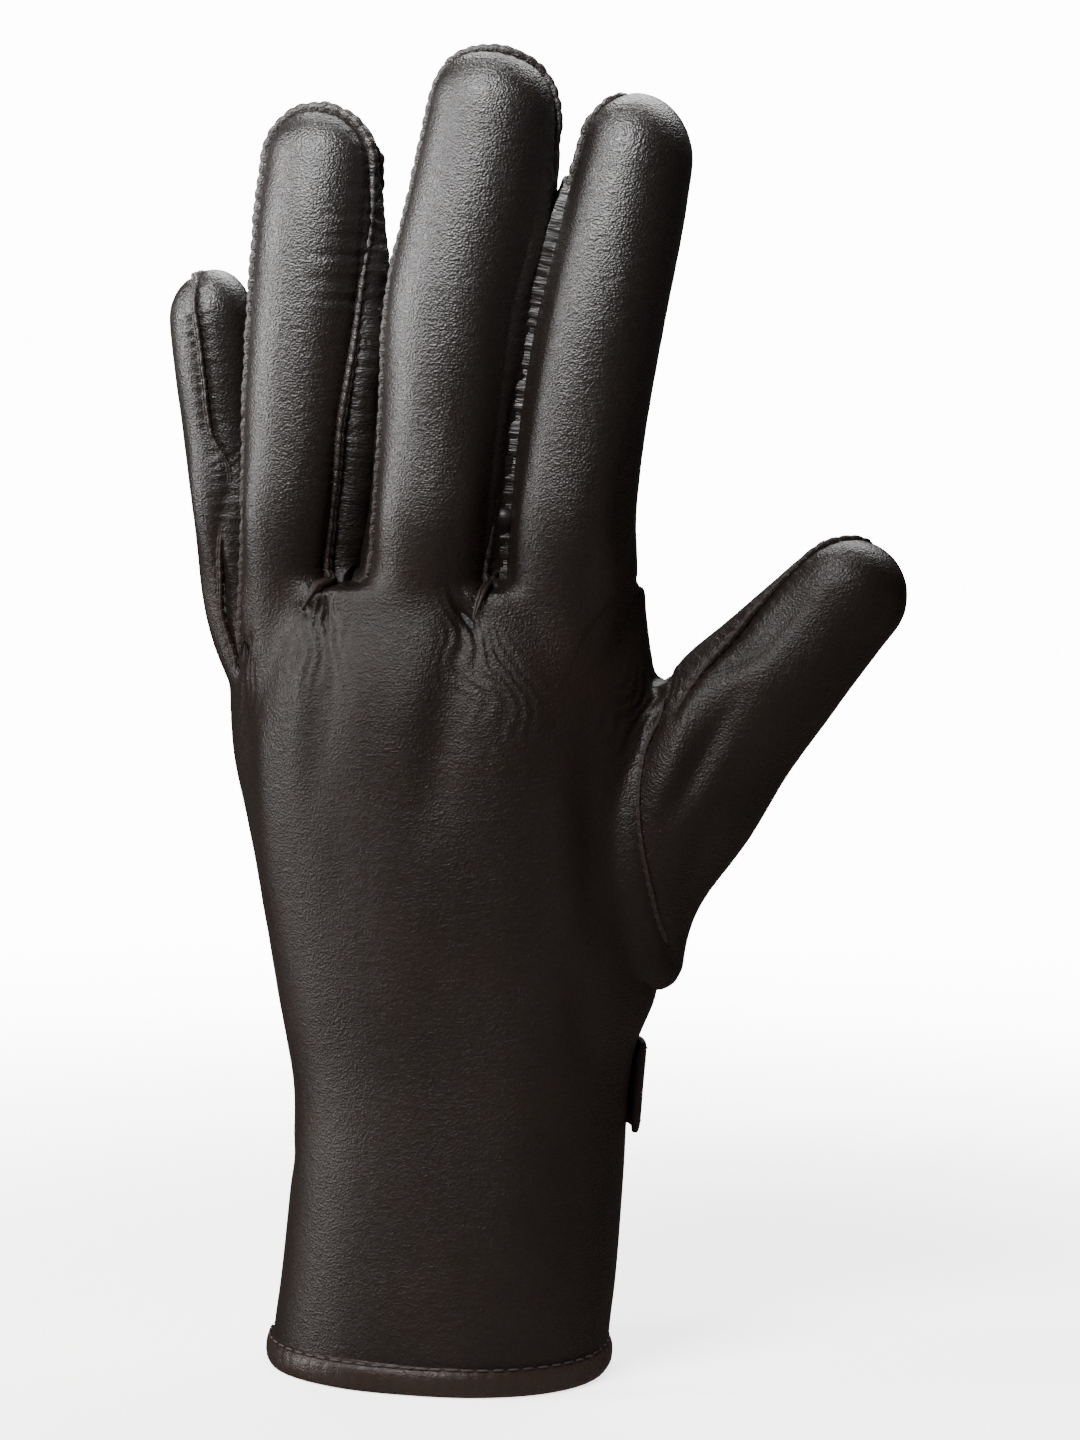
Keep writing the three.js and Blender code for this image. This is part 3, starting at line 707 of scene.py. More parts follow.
# The side strips are slack and puff out between their two seams, filling the gaps between fingers.
for finger, low, high, profile in (
    ("ring", -16, 42, [(148, 2.6), (156, 4.4), (170, 5.0), (190, 4.6), (206, 4.2), (220, 2.6), (236, 0.4)]),
    ("middle", -24, 40, [(148, 1.2), (160, 2.2), (190, 2.3), (214, 3.0), (226, 2.4), (244, 0.3)]),
    ("middle", 140, 194, [(148, 1.8), (160, 3.1), (172, 2.2), (190, 1.3), (214, 0.8), (226, 0.4), (244, 0.0)]),
    ("index", 146, 208, [(148, 0.6), (160, 0.9), (190, 1.0), (214, 1.0), (230, 0.4), (244, 0.0)]),
    ("ring", 150, 206, [(140, 0.5), (160, 0.9), (190, 1.0), (214, 0.7), (236, 0.2)]),
):
    s_here, angle_here, share_here = limb_reading(finger, skin_points)
    turn_in = ((angle_here - low) % 360) / (high - low)
    swell = np.where(turn_in < 1, np.sin(np.pi * np.clip(turn_in, 0, 1)) ** 0.8, 0) * (share_here < 1.25)
    steps = np.array(profile)
    size = np.interp(s_here, steps[:, 0], steps[:, 1]) * (s_here > 146) * (s_here < steps[-1, 0] + 2)
    rumple = 1 + 0.22 * noise_field(skin_points, (9, 9, 7), 21.3)
    lift += swell * size * rumple

# The back of the hand runs straight into the fingers: the shoulder over the knuckles is drawn
# down and the roots of the fingers come up to meet it.
back_facing = smoothstep(-skin_normals[:, 1], 0.45, 0.85)
lift -= 0.8 * np.exp(-((z - 151) / 8) ** 2) * back_facing
lift += 1.5 * np.exp(-((z - 170) / 11) ** 2) * back_facing * (x < 40)

# The thumb side of the hand runs straight up into the index finger.
side_facing = smoothstep(skin_normals[:, 0], 0.4, 0.85) * (x > 24) * (x < 56)
lift += 1.3 * np.exp(-((z - 159) / 7) ** 2) * side_facing

# The heel of the thumb fills out the leather below the end of its seam.
heel = (skin_points - np.array([43.0, 4.0, 77.0])) / np.array([12.0, 14.0, 9.0])
lift += 3.4 * np.exp(-np.sum(heel * heel, -1))

lift *= smoothstep(z, -2, 9) * 0.9 + 0.1
skin_rest = skin_points.copy()
skin_points = skin_points + skin_normals * lift[:, None]
skin_normals = point_normals(skin_points, skin_faces)

# The vent: a slit on the palm side, from the hem up to the wrist, its cut edges made straight.
VENT_X, VENT_HALF, VENT_TOP = -8.0, 1.75, 56.0
SKIN_BOTTOM = 3.0
face_middle = skin_points[skin_faces].mean(1)
in_vent = (np.abs(face_middle[:, 0] - VENT_X) < VENT_HALF) & (face_middle[:, 1] > 5)
in_vent &= face_middle[:, 2] < VENT_TOP
kept = ~in_vent & (face_middle[:, 2] > SKIN_BOTTOM)
skin_faces = skin_faces[kept]
sides_of_quad = ([0, 1], [1, 2], [2, 3], [3, 0])
edge_pairs = np.sort(np.concatenate([skin_faces[:, side] for side in sides_of_quad]), axis=1)
pairs, uses = np.unique(edge_pairs, axis=0, return_counts=True)
rim_points = np.unique(pairs[uses == 1])
near_vent = np.abs(skin_points[rim_points, 0] - VENT_X) < VENT_HALF + 1.2
slit = rim_points[near_vent & (skin_points[rim_points, 1] > 5) & (skin_points[rim_points, 2] > SKIN_BOTTOM + 0.8)]
at_top = slit[skin_points[slit, 2] > VENT_TOP - 0.9]
at_sides = slit[skin_points[slit, 2] <= VENT_TOP - 0.9]
skin_points[at_top, 2] = VENT_TOP
skin_points[at_sides, 0] = VENT_X + VENT_HALF * np.sign(skin_points[at_sides, 0] - VENT_X)
low = rim_points[skin_points[rim_points, 2] <= SKIN_BOTTOM + 0.8]
skin_points[low, 2] = SKIN_BOTTOM


def nappa(name, dark, light, gloss, grain_depth, wrinkle_depth):
    """Smooth nappa lambskin, dyed and lightly waxed: a soft sheen broken by pebble grain and wrinkles."""
    material, tree, shader = new_material(name)
    rest = node(tree, "ShaderNodeAttribute", attribute_name="rest").outputs["Vector"]
    # Dye lies unevenly: patches about 25 mm across.
    patches = node(tree, "ShaderNodeTexNoise", {"Vector": rest}, in_Scale=0.04, in_Detail=3.0)
    dye = node(tree, "ShaderNodeMix", {"Factor": patches.outputs["Fac"]}, data_type="RGBA")
    dye.inputs[6].default_value = linear(dark)
    dye.inputs[7].default_value = linear(light)
    # Pebble grain: cells 0.4 mm across, twice the real size so that they show.
    grain = node(tree, "ShaderNodeTexVoronoi", {"Vector": rest}, in_Scale=2.4, feature="SMOOTH_F1",
                 in_Smoothness=0.6)
    # Grain lines: wrinkles 0.8 mm apart and some 4 mm long, across the finger.
    stretch = node(tree, "ShaderNodeMapping", {"Vector": rest}, in_Scale=(0.30, 0.30, 1.25),
                   in_Rotation=(0.0, 0.42, 0.0))
    lines = node(tree, "ShaderNodeTexNoise", {"Vector": stretch.outputs["Vector"]}, in_Scale=1.0, in_Detail=4.0,
                 in_Roughness=0.62, in_Distortion=0.6)
    ridge = node(tree, "ShaderNodeMath", {0: lines.outputs["Fac"]}, operation="SUBTRACT", in_1=0.5)
    ridge = node(tree, "ShaderNodeMath", {0: ridge.outputs[0]}, operation="ABSOLUTE")
    spread = node(tree, "ShaderNodeTexNoise", {"Vector": rest}, in_Scale=0.07, in_Detail=2.0)
    amount = node(tree, "ShaderNodeMapRange", {"Value": spread.outputs["Fac"]}, in_From_Min=0.20, in_From_Max=0.75,
                  in_To_Min=0.25, in_To_Max=1.0)
    ridge = node(tree, "ShaderNodeMath", {0: ridge.outputs[0], 1: amount.outputs[0]}, operation="MULTIPLY")
    first = node(tree, "ShaderNodeBump", {"Height": grain.outputs["Distance"]},
                 in_Strength=grain_depth, in_Distance=0.00016)
    second = node(tree, "ShaderNodeBump", {"Height": ridge.outputs[0], "Normal": first.outputs["Normal"]},
                  in_Strength=wrinkle_depth, in_Distance=0.0012)
    pores = node(tree, "ShaderNodeTexNoise", {"Vector": rest}, in_Scale=0.9, in_Detail=5.0)
    shine = node(tree, "ShaderNodeMapRange", {"Value": pores.outputs["Fac"]}, in_From_Min=0.3, in_From_Max=0.7,
                 in_To_Min=gloss - 0.03, in_To_Max=gloss + 0.06)
    tree.links.new(dye.outputs[2], shader.inputs["Base Color"])
    tree.links.new(shine.outputs[0], shader.inputs["Roughness"])
    tree.links.new(second.outputs["Normal"], shader.inputs["Normal"])
    # Painted shade and highlight: the specular level rises with height, low on the hand and thumb and high on the
    # fingers, so that the hand and thumb look darker and the fingers brighter, standing in for how the light
    # falls.
    height = node(tree, "ShaderNodeSeparateXYZ", {"Vector": rest})
    highlight_level_by_height = node(tree, "ShaderNodeMapRange", {"Value": height.outputs["Z"]}, interpolation_type="SMOOTHSTEP",
                  in_From_Min=145.0, in_From_Max=225.0, in_To_Min=0.12, in_To_Max=0.62)
    tree.links.new(highlight_level_by_height.outputs[0], shader.inputs["Specular IOR Level"])
    shader.inputs["IOR"].default_value = 1.5
    return material


skin_leather = nappa("nappa_lambskin", "#0F0B09", "#17110E", gloss=0.37, grain_depth=0.75, wrinkle_depth=0.30)
strip_leather = nappa("nappa_side_strips", "#0D0A08", "#140F0C", gloss=0.37, grain_depth=0.7, wrinkle_depth=0.5)


def finished(name, made, places, material):
    """The object of a mesh: smooth, with its material and its places at rest in mm for the grain."""
    attribute = made.attributes.new("rest", "FLOAT_VECTOR", "POINT")
    attribute.data.foreach_set("vector", places.astype(np.float32).ravel())
    made.polygons.foreach_set("use_smooth", np.ones(len(made.polygons), bool))
    made.materials.append(material)
    thing = bpy.data.objects.new(name, made)
    bpy.context.scene.collection.objects.link(thing)
    return thing


def piece(name, points, faces, normals, material, rest=None):
    """Part of a skin as an object that keeps the whole skin's normals."""
    used = np.unique(faces)
    remap = np.zeros(len(points), int)
    remap[used] = np.arange(len(used))
    made = plain_mesh(name, points[used], [tuple(f) for f in remap[faces].tolist()])
    thing = finished(name, made, (points if rest is None else rest)[used], material)
    if normals is not None:
        made.normals_split_custom_set_from_vertices(normals[used].tolist())
    return thing


def at(*point):
    """A point in millimetres about the cuff's axis, as scene metres."""
    return ((point[0] + CUFF_FROM_CENTRE) * MM, point[1] * MM, point[2] * MM)


LENGTHS = ("lower", "upper", "tip")


def join_to_body(thing, limb):
    """Bakes a piece's placement into its points, the same for a finger's length, the thumb's tip and the hand."""
    if limb == 4:
        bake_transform(thing)
    elif limb == -1:
        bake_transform(thing)
    else:
        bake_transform(thing)


face_middle = skin_rest[skin_faces].mean(1)
face_limb, face_length = owners(face_middle)
SIDE_STRIPS = {"index": [(146, 195)], "middle": [(145, 193), (-8, 35)], "ring": [(145, 204), (-12, 36)],
               "little": [(-80, 44)]}
is_strip = np.zeros(len(skin_faces), bool)
for k, finger in enumerate(FINGERS):
    s, angle, _ = limb_reading(finger, face_middle)
    for low, high in SIDE_STRIPS[finger]:
        within = ((angle - low) % 360) < (high - low)
        is_strip |= (face_limb == k) & (face_length < 2) & within

cad_names = set(nodes)
for k, finger in enumerate(FINGERS):
    for n, length in enumerate(LENGTHS):
        here = (face_limb == k) & (face_length == n)
        body = piece(f"{finger}_leather_{length}", skin_points, skin_faces[here & ~is_strip], skin_normals,
                     skin_leather, skin_rest)
        join_to_body(body, k)
        stands_for = [c for c in (f"{finger}_trank_{length}", f"{finger}_back_{length}", f"{finger}_palm_{length}")
                      if c in cad_names]
        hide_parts(*stands_for)
        if n == 2:
            continue
        strips = piece(f"{finger}_side_strips_{length}", skin_points, skin_faces[here & is_strip], skin_normals,
                       strip_leather, skin_rest)
        join_to_body(strips, k)
        stands_for = [c for c in (f"{finger}_outer_fourchette_{length}", f"{finger}_inner_fourchette_{length}")
                      if c in cad_names]
        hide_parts(*stands_for)

# The hand's own leather: the back and palm in one, the webs between the fingers, and the thumb's root.
hand_faces = face_limb == -1
back_edge = np.interp(face_middle[:, 2], [79, 84, 92, 105, 118, 130, 137, 142],
                      [48, 48, 45, 42, 41, 41.5, 43.5, 46])
palm_edge = np.interp(face_middle[:, 2], [79, 87, 98, 112, 126, 137, 142], [41, 32, 27, 27, 31, 38, 44])
edge = np.where(face_middle[:, 1] < 2, back_edge, palm_edge)
is_thumb = hand_faces & (face_middle[:, 0] > edge) & (face_middle[:, 2] > 79)
facing_up = point_normals(skin_points, skin_faces)[skin_faces[:, 0], 2] > 0.55
is_web = hand_faces & (face_middle[:, 2] > 141) & facing_up
is_web &= ~is_thumb & (face_middle[:, 0] < 24) & (face_middle[:, 0] > -42)

trank_faces = skin_faces[hand_faces & ~is_thumb & ~is_web]
trank = piece("hand_leather", skin_points, trank_faces, skin_normals, skin_leather, skin_rest)
join_to_body(trank, -1)
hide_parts("back_of_hand", "palm")

webs = piece("finger_webs", skin_points, skin_faces[is_web], skin_normals, strip_leather, skin_rest)
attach(webs, "hand")
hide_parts("little_ring_fourchette_root", "ring_middle_fourchette_root", "middle_index_fourchette_root")

thumb_piece = piece("thumb_leather_lower", skin_points, skin_faces[is_thumb], skin_normals, skin_leather,
                    skin_rest)
join_to_body(thumb_piece, -1)
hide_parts("thumb_root", "thumb_lower")

thumb_end = piece("thumb_leather_tip", skin_points, skin_faces[face_limb == 4], skin_normals, skin_leather,
                  skin_rest)
join_to_body(thumb_end, 4)
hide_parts("thumb_tip")


# ---------------------------------------------------------------- seam rims and stitches
# Two cut edges of leather stand up side by side, 1.4 mm together, and a thread through both every
# 2.5 mm draws them into small scallops. Each thread shows as a nick across the rim.

STITCH_PITCH = 2.5

rim_leather = nappa("nappa_cut_edges", "#15100D", "#221A16", gloss=0.44, grain_depth=0.8, wrinkle_depth=0.4)


def thread_material(name, colour):
    """Bonded polyester thread: matt, a shade lighter than the leather, with a fine twist."""
    material, tree, shader = new_material(name)
    rest = node(tree, "ShaderNodeAttribute", attribute_name="rest").outputs["Vector"]
    twist = node(tree, "ShaderNodeTexWave", {"Vector": rest}, in_Scale=2.2, in_Distortion=1.0,
                 bands_direction="DIAGONAL")
    tint = node(tree, "ShaderNodeMix", {"Factor": twist.outputs["Fac"]}, data_type="RGBA")
    tint.inputs[6].default_value = linear(colour)
    tint.inputs[7].default_value = linear("#2E2522")
    bump = node(tree, "ShaderNodeBump", {"Height": twist.outputs["Fac"]}, in_Strength=0.5, in_Distance=0.0001)
    tree.links.new(tint.outputs[2], shader.inputs["Base Color"])
    tree.links.new(bump.outputs["Normal"], shader.inputs["Normal"])
    shader.inputs["Roughness"].default_value = 0.7
    return material


thread = thread_material("polyester_thread", "#15100E")

# The rim's section, across and out from the skin: two rounded edges with a slit between them.
RIM_SECTION = np.array([
    (-0.80, -0.70), (-0.86, 0.0), (-0.74, 0.55), (-0.46, 0.82), (-0.16, 0.74), (0.0, 0.56),
    (0.16, 0.74), (0.46, 0.82), (0.74, 0.55), (0.86, 0.0), (0.80, -0.70),
])


def swept(place, out, section, widths, heights):
    """A strip with a section swept along a line that lies on the skin; the section is left open below."""
    along = unit(np.gradient(place, axis=0))
    side = unit(np.cross(out, along))
    across = section[None, :, 0, None] * widths[:, None, None] * side[:, None]
    up = section[None, :, 1, None] * heights[:, None, None] * out[:, None]
    rings = place[:, None] + across + up
    count, sides = rings.shape[:2]
    base = np.arange(count - 1)[:, None] * sides + np.arange(sides - 1)
    faces = np.stack([base, base + sides, base + sides + 1, base + 1], -1).reshape(-1, 4)
    return rings.reshape(-1, 3), faces


def capsule(start, end, radius, sides=6):
    """A short round thread from one point to another, with rounded ends."""
    start, end = np.array(start), np.array(end)
    along = unit(end - start)
    side = unit(np.cross(along, [0.31, 0.52, 0.79]))
    other = np.cross(along, side)
    angles = np.linspace(0, 2 * np.pi, sides, endpoint=False)
    spokes = np.cos(angles)[:, None] * side + np.sin(angles)[:, None] * other
    rings = []
    for share, width in ((-0.06, 0.35), (0.04, 0.85), (0.25, 1.0), (0.5, 1.05), (0.75, 1.0), (0.96, 0.85),
                         (1.06, 0.35)):
        rings.append(start + (end - start) * share + radius * width * spokes)
    rings = np.array(rings)
    base = np.arange(len(rings) - 1)[:, None] * sides + np.arange(sides)
    turn = np.arange(len(rings) - 1)[:, None] * sides + (np.arange(sides) + 1) % sides
    faces = np.stack([base, turn, turn + sides, base + sides], -1).reshape(-1, 4)
    return rings.reshape(-1, 3), faces


class Heap:
    """Collects bits of mesh that end up in one piece."""

    def __init__(self):
        self.points, self.faces, self.count = [], [], 0

    def add(self, made):
        points, faces = made
        self.points.append(points)
        self.faces.append(faces + self.count)
        self.count += len(points)

    def piece(self, name, material):
        points, faces = np.concatenate(self.points), np.concatenate(self.faces)
        return piece(name, points, faces, None, material)


rims, stitches = {}, {}
for seam in seams:
    place, out = seam["place"], seam["out"]
    run = np.concatenate([[0], np.cumsum(np.linalg.norm(np.diff(place, axis=0), axis=1))])
    limb, length = owners(place)
    if seam["name"] == "thumb":
        key_of = [(4, 0) if l == 4 else (-1, 0) for l in limb]
    elif seam["name"] == "hand":
        key_of = [(-1, 0)] * len(place)
    else:
        k = FINGERS.index(seam["name"])
        low = LIMBS[seam["name"]]["zones"][0][0]
        lengths = np.searchsorted(LIMBS[seam["name"]]["splits"], place[:, 2])
        key_of = [(k, int(n)) if h > low else (-1, 0) for h, n in zip(place[:, 2], lengths)]
    phase = run / STITCH_PITCH
    uneven = np.array([noise.noise((a * 0.35, seam["size"] * 7, len(place) * 0.01)) for a in run])
    scallop = 0.64 + 0.36 * np.abs(np.sin(np.pi * phase)) ** 0.6
    fade = np.minimum(1, np.minimum(run, run[-1] - run) / 3.0) * 0.75 + 0.25
    widths = seam["size"] * (0.60 + 0.42 * scallop + 0.10 * uneven) * fade
    heights = seam["size"] * (1.08 * scallop + 0.16 * uneven) * fade
    place = place + out * (0.12 * uneven - 0.05)[:, None]
    start = 0
    for stop in range(1, len(place) + 1):
        if stop < len(place) and key_of[stop] == key_of[start]:
            continue
        last = min(stop + 1, len(place))
        if last - start > 2:
            part = slice(start, last)
            rims.setdefault(key_of[start], Heap()).add(
                swept(place[part], out[part], RIM_SECTION, widths[part], heights[part]))
        start = stop
    along = unit(np.gradient(place, axis=0))
    side = unit(np.cross(out, along))
    for number in range(1, int(phase[-1])):
        k = int(np.searchsorted(phase, number))
        size = seam["size"]
        crest = place[k] + out[k] * 0.50 * size * fade[k]
        lean = 0.25 * along[k]
        for way in (-1, 1):
            foot = place[k] + side[k] * way * 0.92 * size - out[k] * 0.15
            stitches.setdefault(key_of[k], Heap()).add(capsule(crest + lean * way * 0.5, foot + lean * way, 0.17))

for table, kind, material in ((rims, "outseam", rim_leather), (stitches, "stitches", thread)):
    for (limb, length), heap in sorted(table.items()):
        owner = {-1: "hand", 4: "thumb"}.get(limb) or f"{FINGERS[limb]}_{LENGTHS[length]}"
        made = heap.piece(f"{owner}_{kind}", material)
        join_to_body(made, limb)


# ---------------------------------------------------------------- hem band
# The cuff's edge is bound with a folded strip of the same leather, rounded and glossy. A row of
# stitches holds it just above the fold, and it goes up both sides of the vent.

HEM_STEPS = 620
HEM_STITCH_PITCH = 3.0

hem_leather = nappa("nappa_binding", "#15100D", "#221A16", gloss=0.30, grain_depth=0.45, wrinkle_depth=0.3)


def outline_angle(target_x, height):
    """The angle on the palm side where the outline reaches a given x."""
    low, high = 0.02, math.pi - 0.02
    for _ in range(40):
        middle = (low + high) / 2
        if hand_outline(np.array(middle), height)[0] > target_x:
            low = middle
        else:
            high = middle
    return low


HEM_SECTION = [
    (-2.6, 6.2), (-2.7, 3.0), (-2.3, 0.9), (-1.4, 0.12), (-0.5, 0.0), (0.35, 0.35), (0.9, 1.3), (1.08, 2.6),
    (1.0, 4.0), (0.72, 5.0), (0.30, 5.5), (-0.25, 5.75), (-0.6, 6.3),
]
start_angle = outline_angle(VENT_X - VENT_HALF, 2.0)
end_angle = outline_angle(VENT_X + VENT_HALF, 2.0) + 2 * math.pi
hem_angles = np.linspace(start_angle, end_angle, HEM_STEPS)
section = np.array(HEM_SECTION)
hem_base = hand_outline(hem_angles, np.zeros(HEM_STEPS))
hem_out = hand_normal(hem_angles, np.zeros(HEM_STEPS))
hem_run = np.concatenate([[0], np.cumsum(np.linalg.norm(np.diff(hem_base, axis=0), axis=1))])
hem_wave = np.array([noise.noise((a * 0.09, 4.2, 0.5)) for a in hem_run])
hem_pull = np.abs(np.sin(np.pi * hem_run / HEM_STITCH_PITCH)) ** 0.7
hem_rings = []
for outward, height in section:
    puff = outward + 0.10 * hem_pull * (outward > 0.2) + 0.18 * hem_wave
    ring = hem_base + hem_out * puff[:, None]
    ring[:, 2] = height if height < 0.2 else height + 0.10 * hem_wave
    hem_rings.append(ring)
hem_grid = np.stack(hem_rings, 1)
sides = len(section)
base = np.arange(HEM_STEPS - 1)[:, None] * sides + np.arange(sides - 1)
hem_faces = np.stack([base, base + 1, base + sides + 1, base + sides], -1).reshape(-1, 4)
hem = piece("hem_binding", hem_grid.reshape(-1, 3), hem_faces, None, hem_leather)
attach(hem, "hand")
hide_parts("hem_band")

hem_thread = Heap()
for middle in np.arange(2.0, hem_run[-1] - 2, HEM_STITCH_PITCH):
    first, last = (int(np.searchsorted(hem_run, middle + half)) for half in (-0.95, 0.95))
    start, end = (hem_base[k] + hem_out[k] * 0.42 + np.array([0, 0, 5.75]) for k in (first, last))
    hem_thread.add(capsule(start, end, 0.20))
hem_stitches = hem_thread.piece("hem_stitches", thread)
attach(hem_stitches, "hand")

# The vent's binding: a narrow rolled edge up one side, round the top and down the other.
VENT_EDGE = VENT_HALF + 0.5
vent_heights = np.linspace(5.6, VENT_TOP - 1.5, 26)
vent_spots = [(VENT_X - VENT_EDGE, height) for height in vent_heights]
vent_spots += [(VENT_X + VENT_EDGE * math.cos(a), VENT_TOP - 1.0 + (VENT_HALF + 0.3) * math.sin(a))
               for a in np.linspace(math.pi, 0, 9)]
vent_spots += [(VENT_X + VENT_EDGE, height) for height in vent_heights[::-1]]
vent_guide = [hand_outline(np.array(outline_angle(across, height)), np.array(height))
              for across, height in vent_spots]
vent_place = resampled(np.array(vent_guide), 0.5)
vent_out = np.array([smooth_skin.find_nearest(p)[1] for p in vent_place.tolist()])
for _ in range(8):
    vent_out[1:-1] = unit(0.25 * vent_out[:-2] + 0.5 * vent_out[1:-1] + 0.25 * vent_out[2:])
VENT_SECTION = np.array([
    (1.0, -1.6), (1.05, -0.4), (0.85, 0.35), (0.45, 0.7), (-0.1, 0.75), (-0.7, 0.5), (-1.3, 0.15), (-1.7, -0.3),
])
full_size = np.ones(len(vent_place))
points, faces = swept(vent_place, vent_out, VENT_SECTION, full_size, full_size)
vent_binding = piece("vent_binding", points, faces[:, ::-1], None, hem_leather)
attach(vent_binding, "hand")


# ---------------------------------------------------------------- knitted lining
# A fine jersey knit glove, glued and caught inside the leather. It shows in the cuff's mouth and through the vent.


def jersey(name):
    """Fine jersey knit of wool and polyamide: matt grey-black, with ribs 1.2 mm apart and soft fuzz."""
    material, tree, shader = new_material(name)
    rest = node(tree, "ShaderNodeAttribute", attribute_name="rest").outputs["Vector"]
    ribs = node(tree, "ShaderNodeTexWave", {"Vector": rest}, in_Scale=0.26, bands_direction="X", in_Distortion=0.6)
    rows = node(tree, "ShaderNodeTexWave", {"Vector": rest}, in_Scale=0.40, bands_direction="Z", in_Distortion=0.6)
    loops = node(tree, "ShaderNodeMath", {0: ribs.outputs["Fac"], 1: rows.outputs["Fac"]}, operation="MULTIPLY")
    tint = node(tree, "ShaderNodeMix", {"Factor": loops.outputs[0]}, data_type="RGBA")
    tint.inputs[6].default_value = linear("#161515")
    tint.inputs[7].default_value = linear("#353231")
    bump = node(tree, "ShaderNodeBump", {"Height": loops.outputs[0]}, in_Strength=0.8, in_Distance=0.0004)
    tree.links.new(tint.outputs[2], shader.inputs["Base Color"])
    tree.links.new(bump.outputs["Normal"], shader.inputs["Normal"])
    shader.inputs["Roughness"].default_value = 0.95
    shader.inputs["Sheen Weight"].default_value = 0.3
    return material


knit = jersey("jersey_knit")
lining_points, lining_faces = melted_form(inset=2.3, voxel=1.5, rounds=6, subdivide=False)
middle = lining_points[lining_faces].mean(1)
slit = (np.abs(middle[:, 0] - VENT_X) < VENT_HALF + 0.8) & (middle[:, 1] > 5) & (middle[:, 2] < VENT_TOP)
lining_faces = lining_faces[~slit & (middle[:, 2] > 4)]
lining_normals = point_normals(lining_points, lining_faces)
middle = lining_points[lining_faces].mean(1)
lining_limb, lining_length = owners(middle)
for k, finger in enumerate(FINGERS):
    for n, length in enumerate(LENGTHS):
        here = (lining_limb == k) & (lining_length == n)
        stall = piece(f"{finger}_knit_{length}", lining_points, lining_faces[here], lining_normals, knit)
        join_to_body(stall, k)
        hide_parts(f"{finger}_lining_{length}")
hand_knit = piece("hand_knit", lining_points, lining_faces[lining_limb == -1], lining_normals, knit)
join_to_body(hand_knit, -1)
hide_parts("hand_lining", "thumb_lining_lower")
thumb_knit = piece("thumb_knit_tip", lining_points, lining_faces[lining_limb == 4], lining_normals, knit)
join_to_body(thumb_knit, 4)
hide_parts("thumb_lining_tip")


# ---------------------------------------------------------------- wrist strap
# A tab of doubled leather, 18 mm wide and 1.8 mm thick, sewn down at the thumb edge of the wrist. It
# closes over the vent with a snap. A row of stitches runs 1.6 mm inside its edge.

STRAP_LOW, STRAP_HIGH = 48.0, 66.0
STRAP_CLEAR, STRAP_THICK = 0.9, 1.8
STRAP_START_ANGLE, STRAP_END_X = 0.10, -24.2
STRAP_STEPS, STRAP_SIDES = 150, 44
STRAP_ROUNDED = 7.5

strap_leather = nappa("nappa_strap", "#0F0B09", "#181210", gloss=0.34, grain_depth=0.6, wrinkle_depth=0.35)
strap_middle = (STRAP_LOW + STRAP_HIGH) / 2
strap_angles = np.linspace(STRAP_START_ANGLE, outline_angle(STRAP_END_X, strap_middle), STRAP_STEPS)
strap_line = hand_outline(strap_angles, np.full(STRAP_STEPS, strap_middle))
strap_run = np.concatenate([[0], np.cumsum(np.linalg.norm(np.diff(strap_line, axis=0), axis=1))])
from_end = strap_run[-1] - strap_run
half_widths = (STRAP_HIGH - STRAP_LOW) / 2 * np.sqrt(1 - np.clip(1 - from_end / STRAP_ROUNDED, 0, 1) ** 2.6)
half_widths = np.maximum(half_widths, 0.3)


def above_wrist(angle, height, clear):
    """A point a way out from the wrist's outline."""
    angle, height = np.array(angle), np.array(height)
    return hand_outline(angle, height) + hand_normal(angle, height) * clear


strap_rings = []
for k, angle in enumerate(strap_angles):
    ring = []
    for corner in np.linspace(0, 2 * np.pi, STRAP_SIDES, endpoint=False):
        c, s = math.cos(corner), math.sin(corner)
        across = np.sign(c) * abs(c) ** 0.28 * half_widths[k]
        through_it = np.sign(s) * abs(s) ** 0.5 * STRAP_THICK / 2 * min(1, 0.35 + from_end[k] / 1.5)
        pillow = 0.16 * (1 - (across / max(half_widths[k], 1)) ** 4) * (s > 0)
        clear = STRAP_CLEAR + STRAP_THICK / 2 + through_it + pillow
        ring.append(above_wrist(angle, strap_middle + across, clear))
    strap_rings.append(ring)
strap_points, strap_faces = closed_loft(np.array(strap_rings))
strap_mesh = plain_mesh("wrist_strap", strap_points, strap_faces)
strap = finished("wrist_strap", strap_mesh, strap_points, strap_leather)
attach(strap, "strap")
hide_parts("strap")

# Stitches 1.8 mm long, 2.7 mm apart, along one edge of the strap, round its end and back.
STRAP_STITCH_INSET = 1.6
runs = np.arange(2.0, strap_run[-1] - 2.0, 0.5)
insets = np.interp(runs, strap_run, half_widths) - STRAP_STITCH_INSET
turns = np.interp(runs, strap_run, strap_angles)
path = [*zip(turns, insets), *zip(turns[::-1], -insets[::-1])]
stitch_line = [above_wrist(turn, strap_middle + across, STRAP_CLEAR + STRAP_THICK + 0.18)
               for turn, across in path]
stitch_line = resampled(np.array(stitch_line), 0.3)
strap_thread = Heap()
for k in range(2, len(stitch_line) - 9, 9):
    strap_thread.add(capsule(stitch_line[k], stitch_line[k + 6], 0.16))
strap_stitches = strap_thread.piece("strap_stitches", thread)
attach(strap_stitches, "strap")


# ---------------------------------------------------------------- snap fastener
# A four-part brass snap with a dark plated finish: cap and socket riveted through the strap, stud
# and post riveted through the palm and lining.


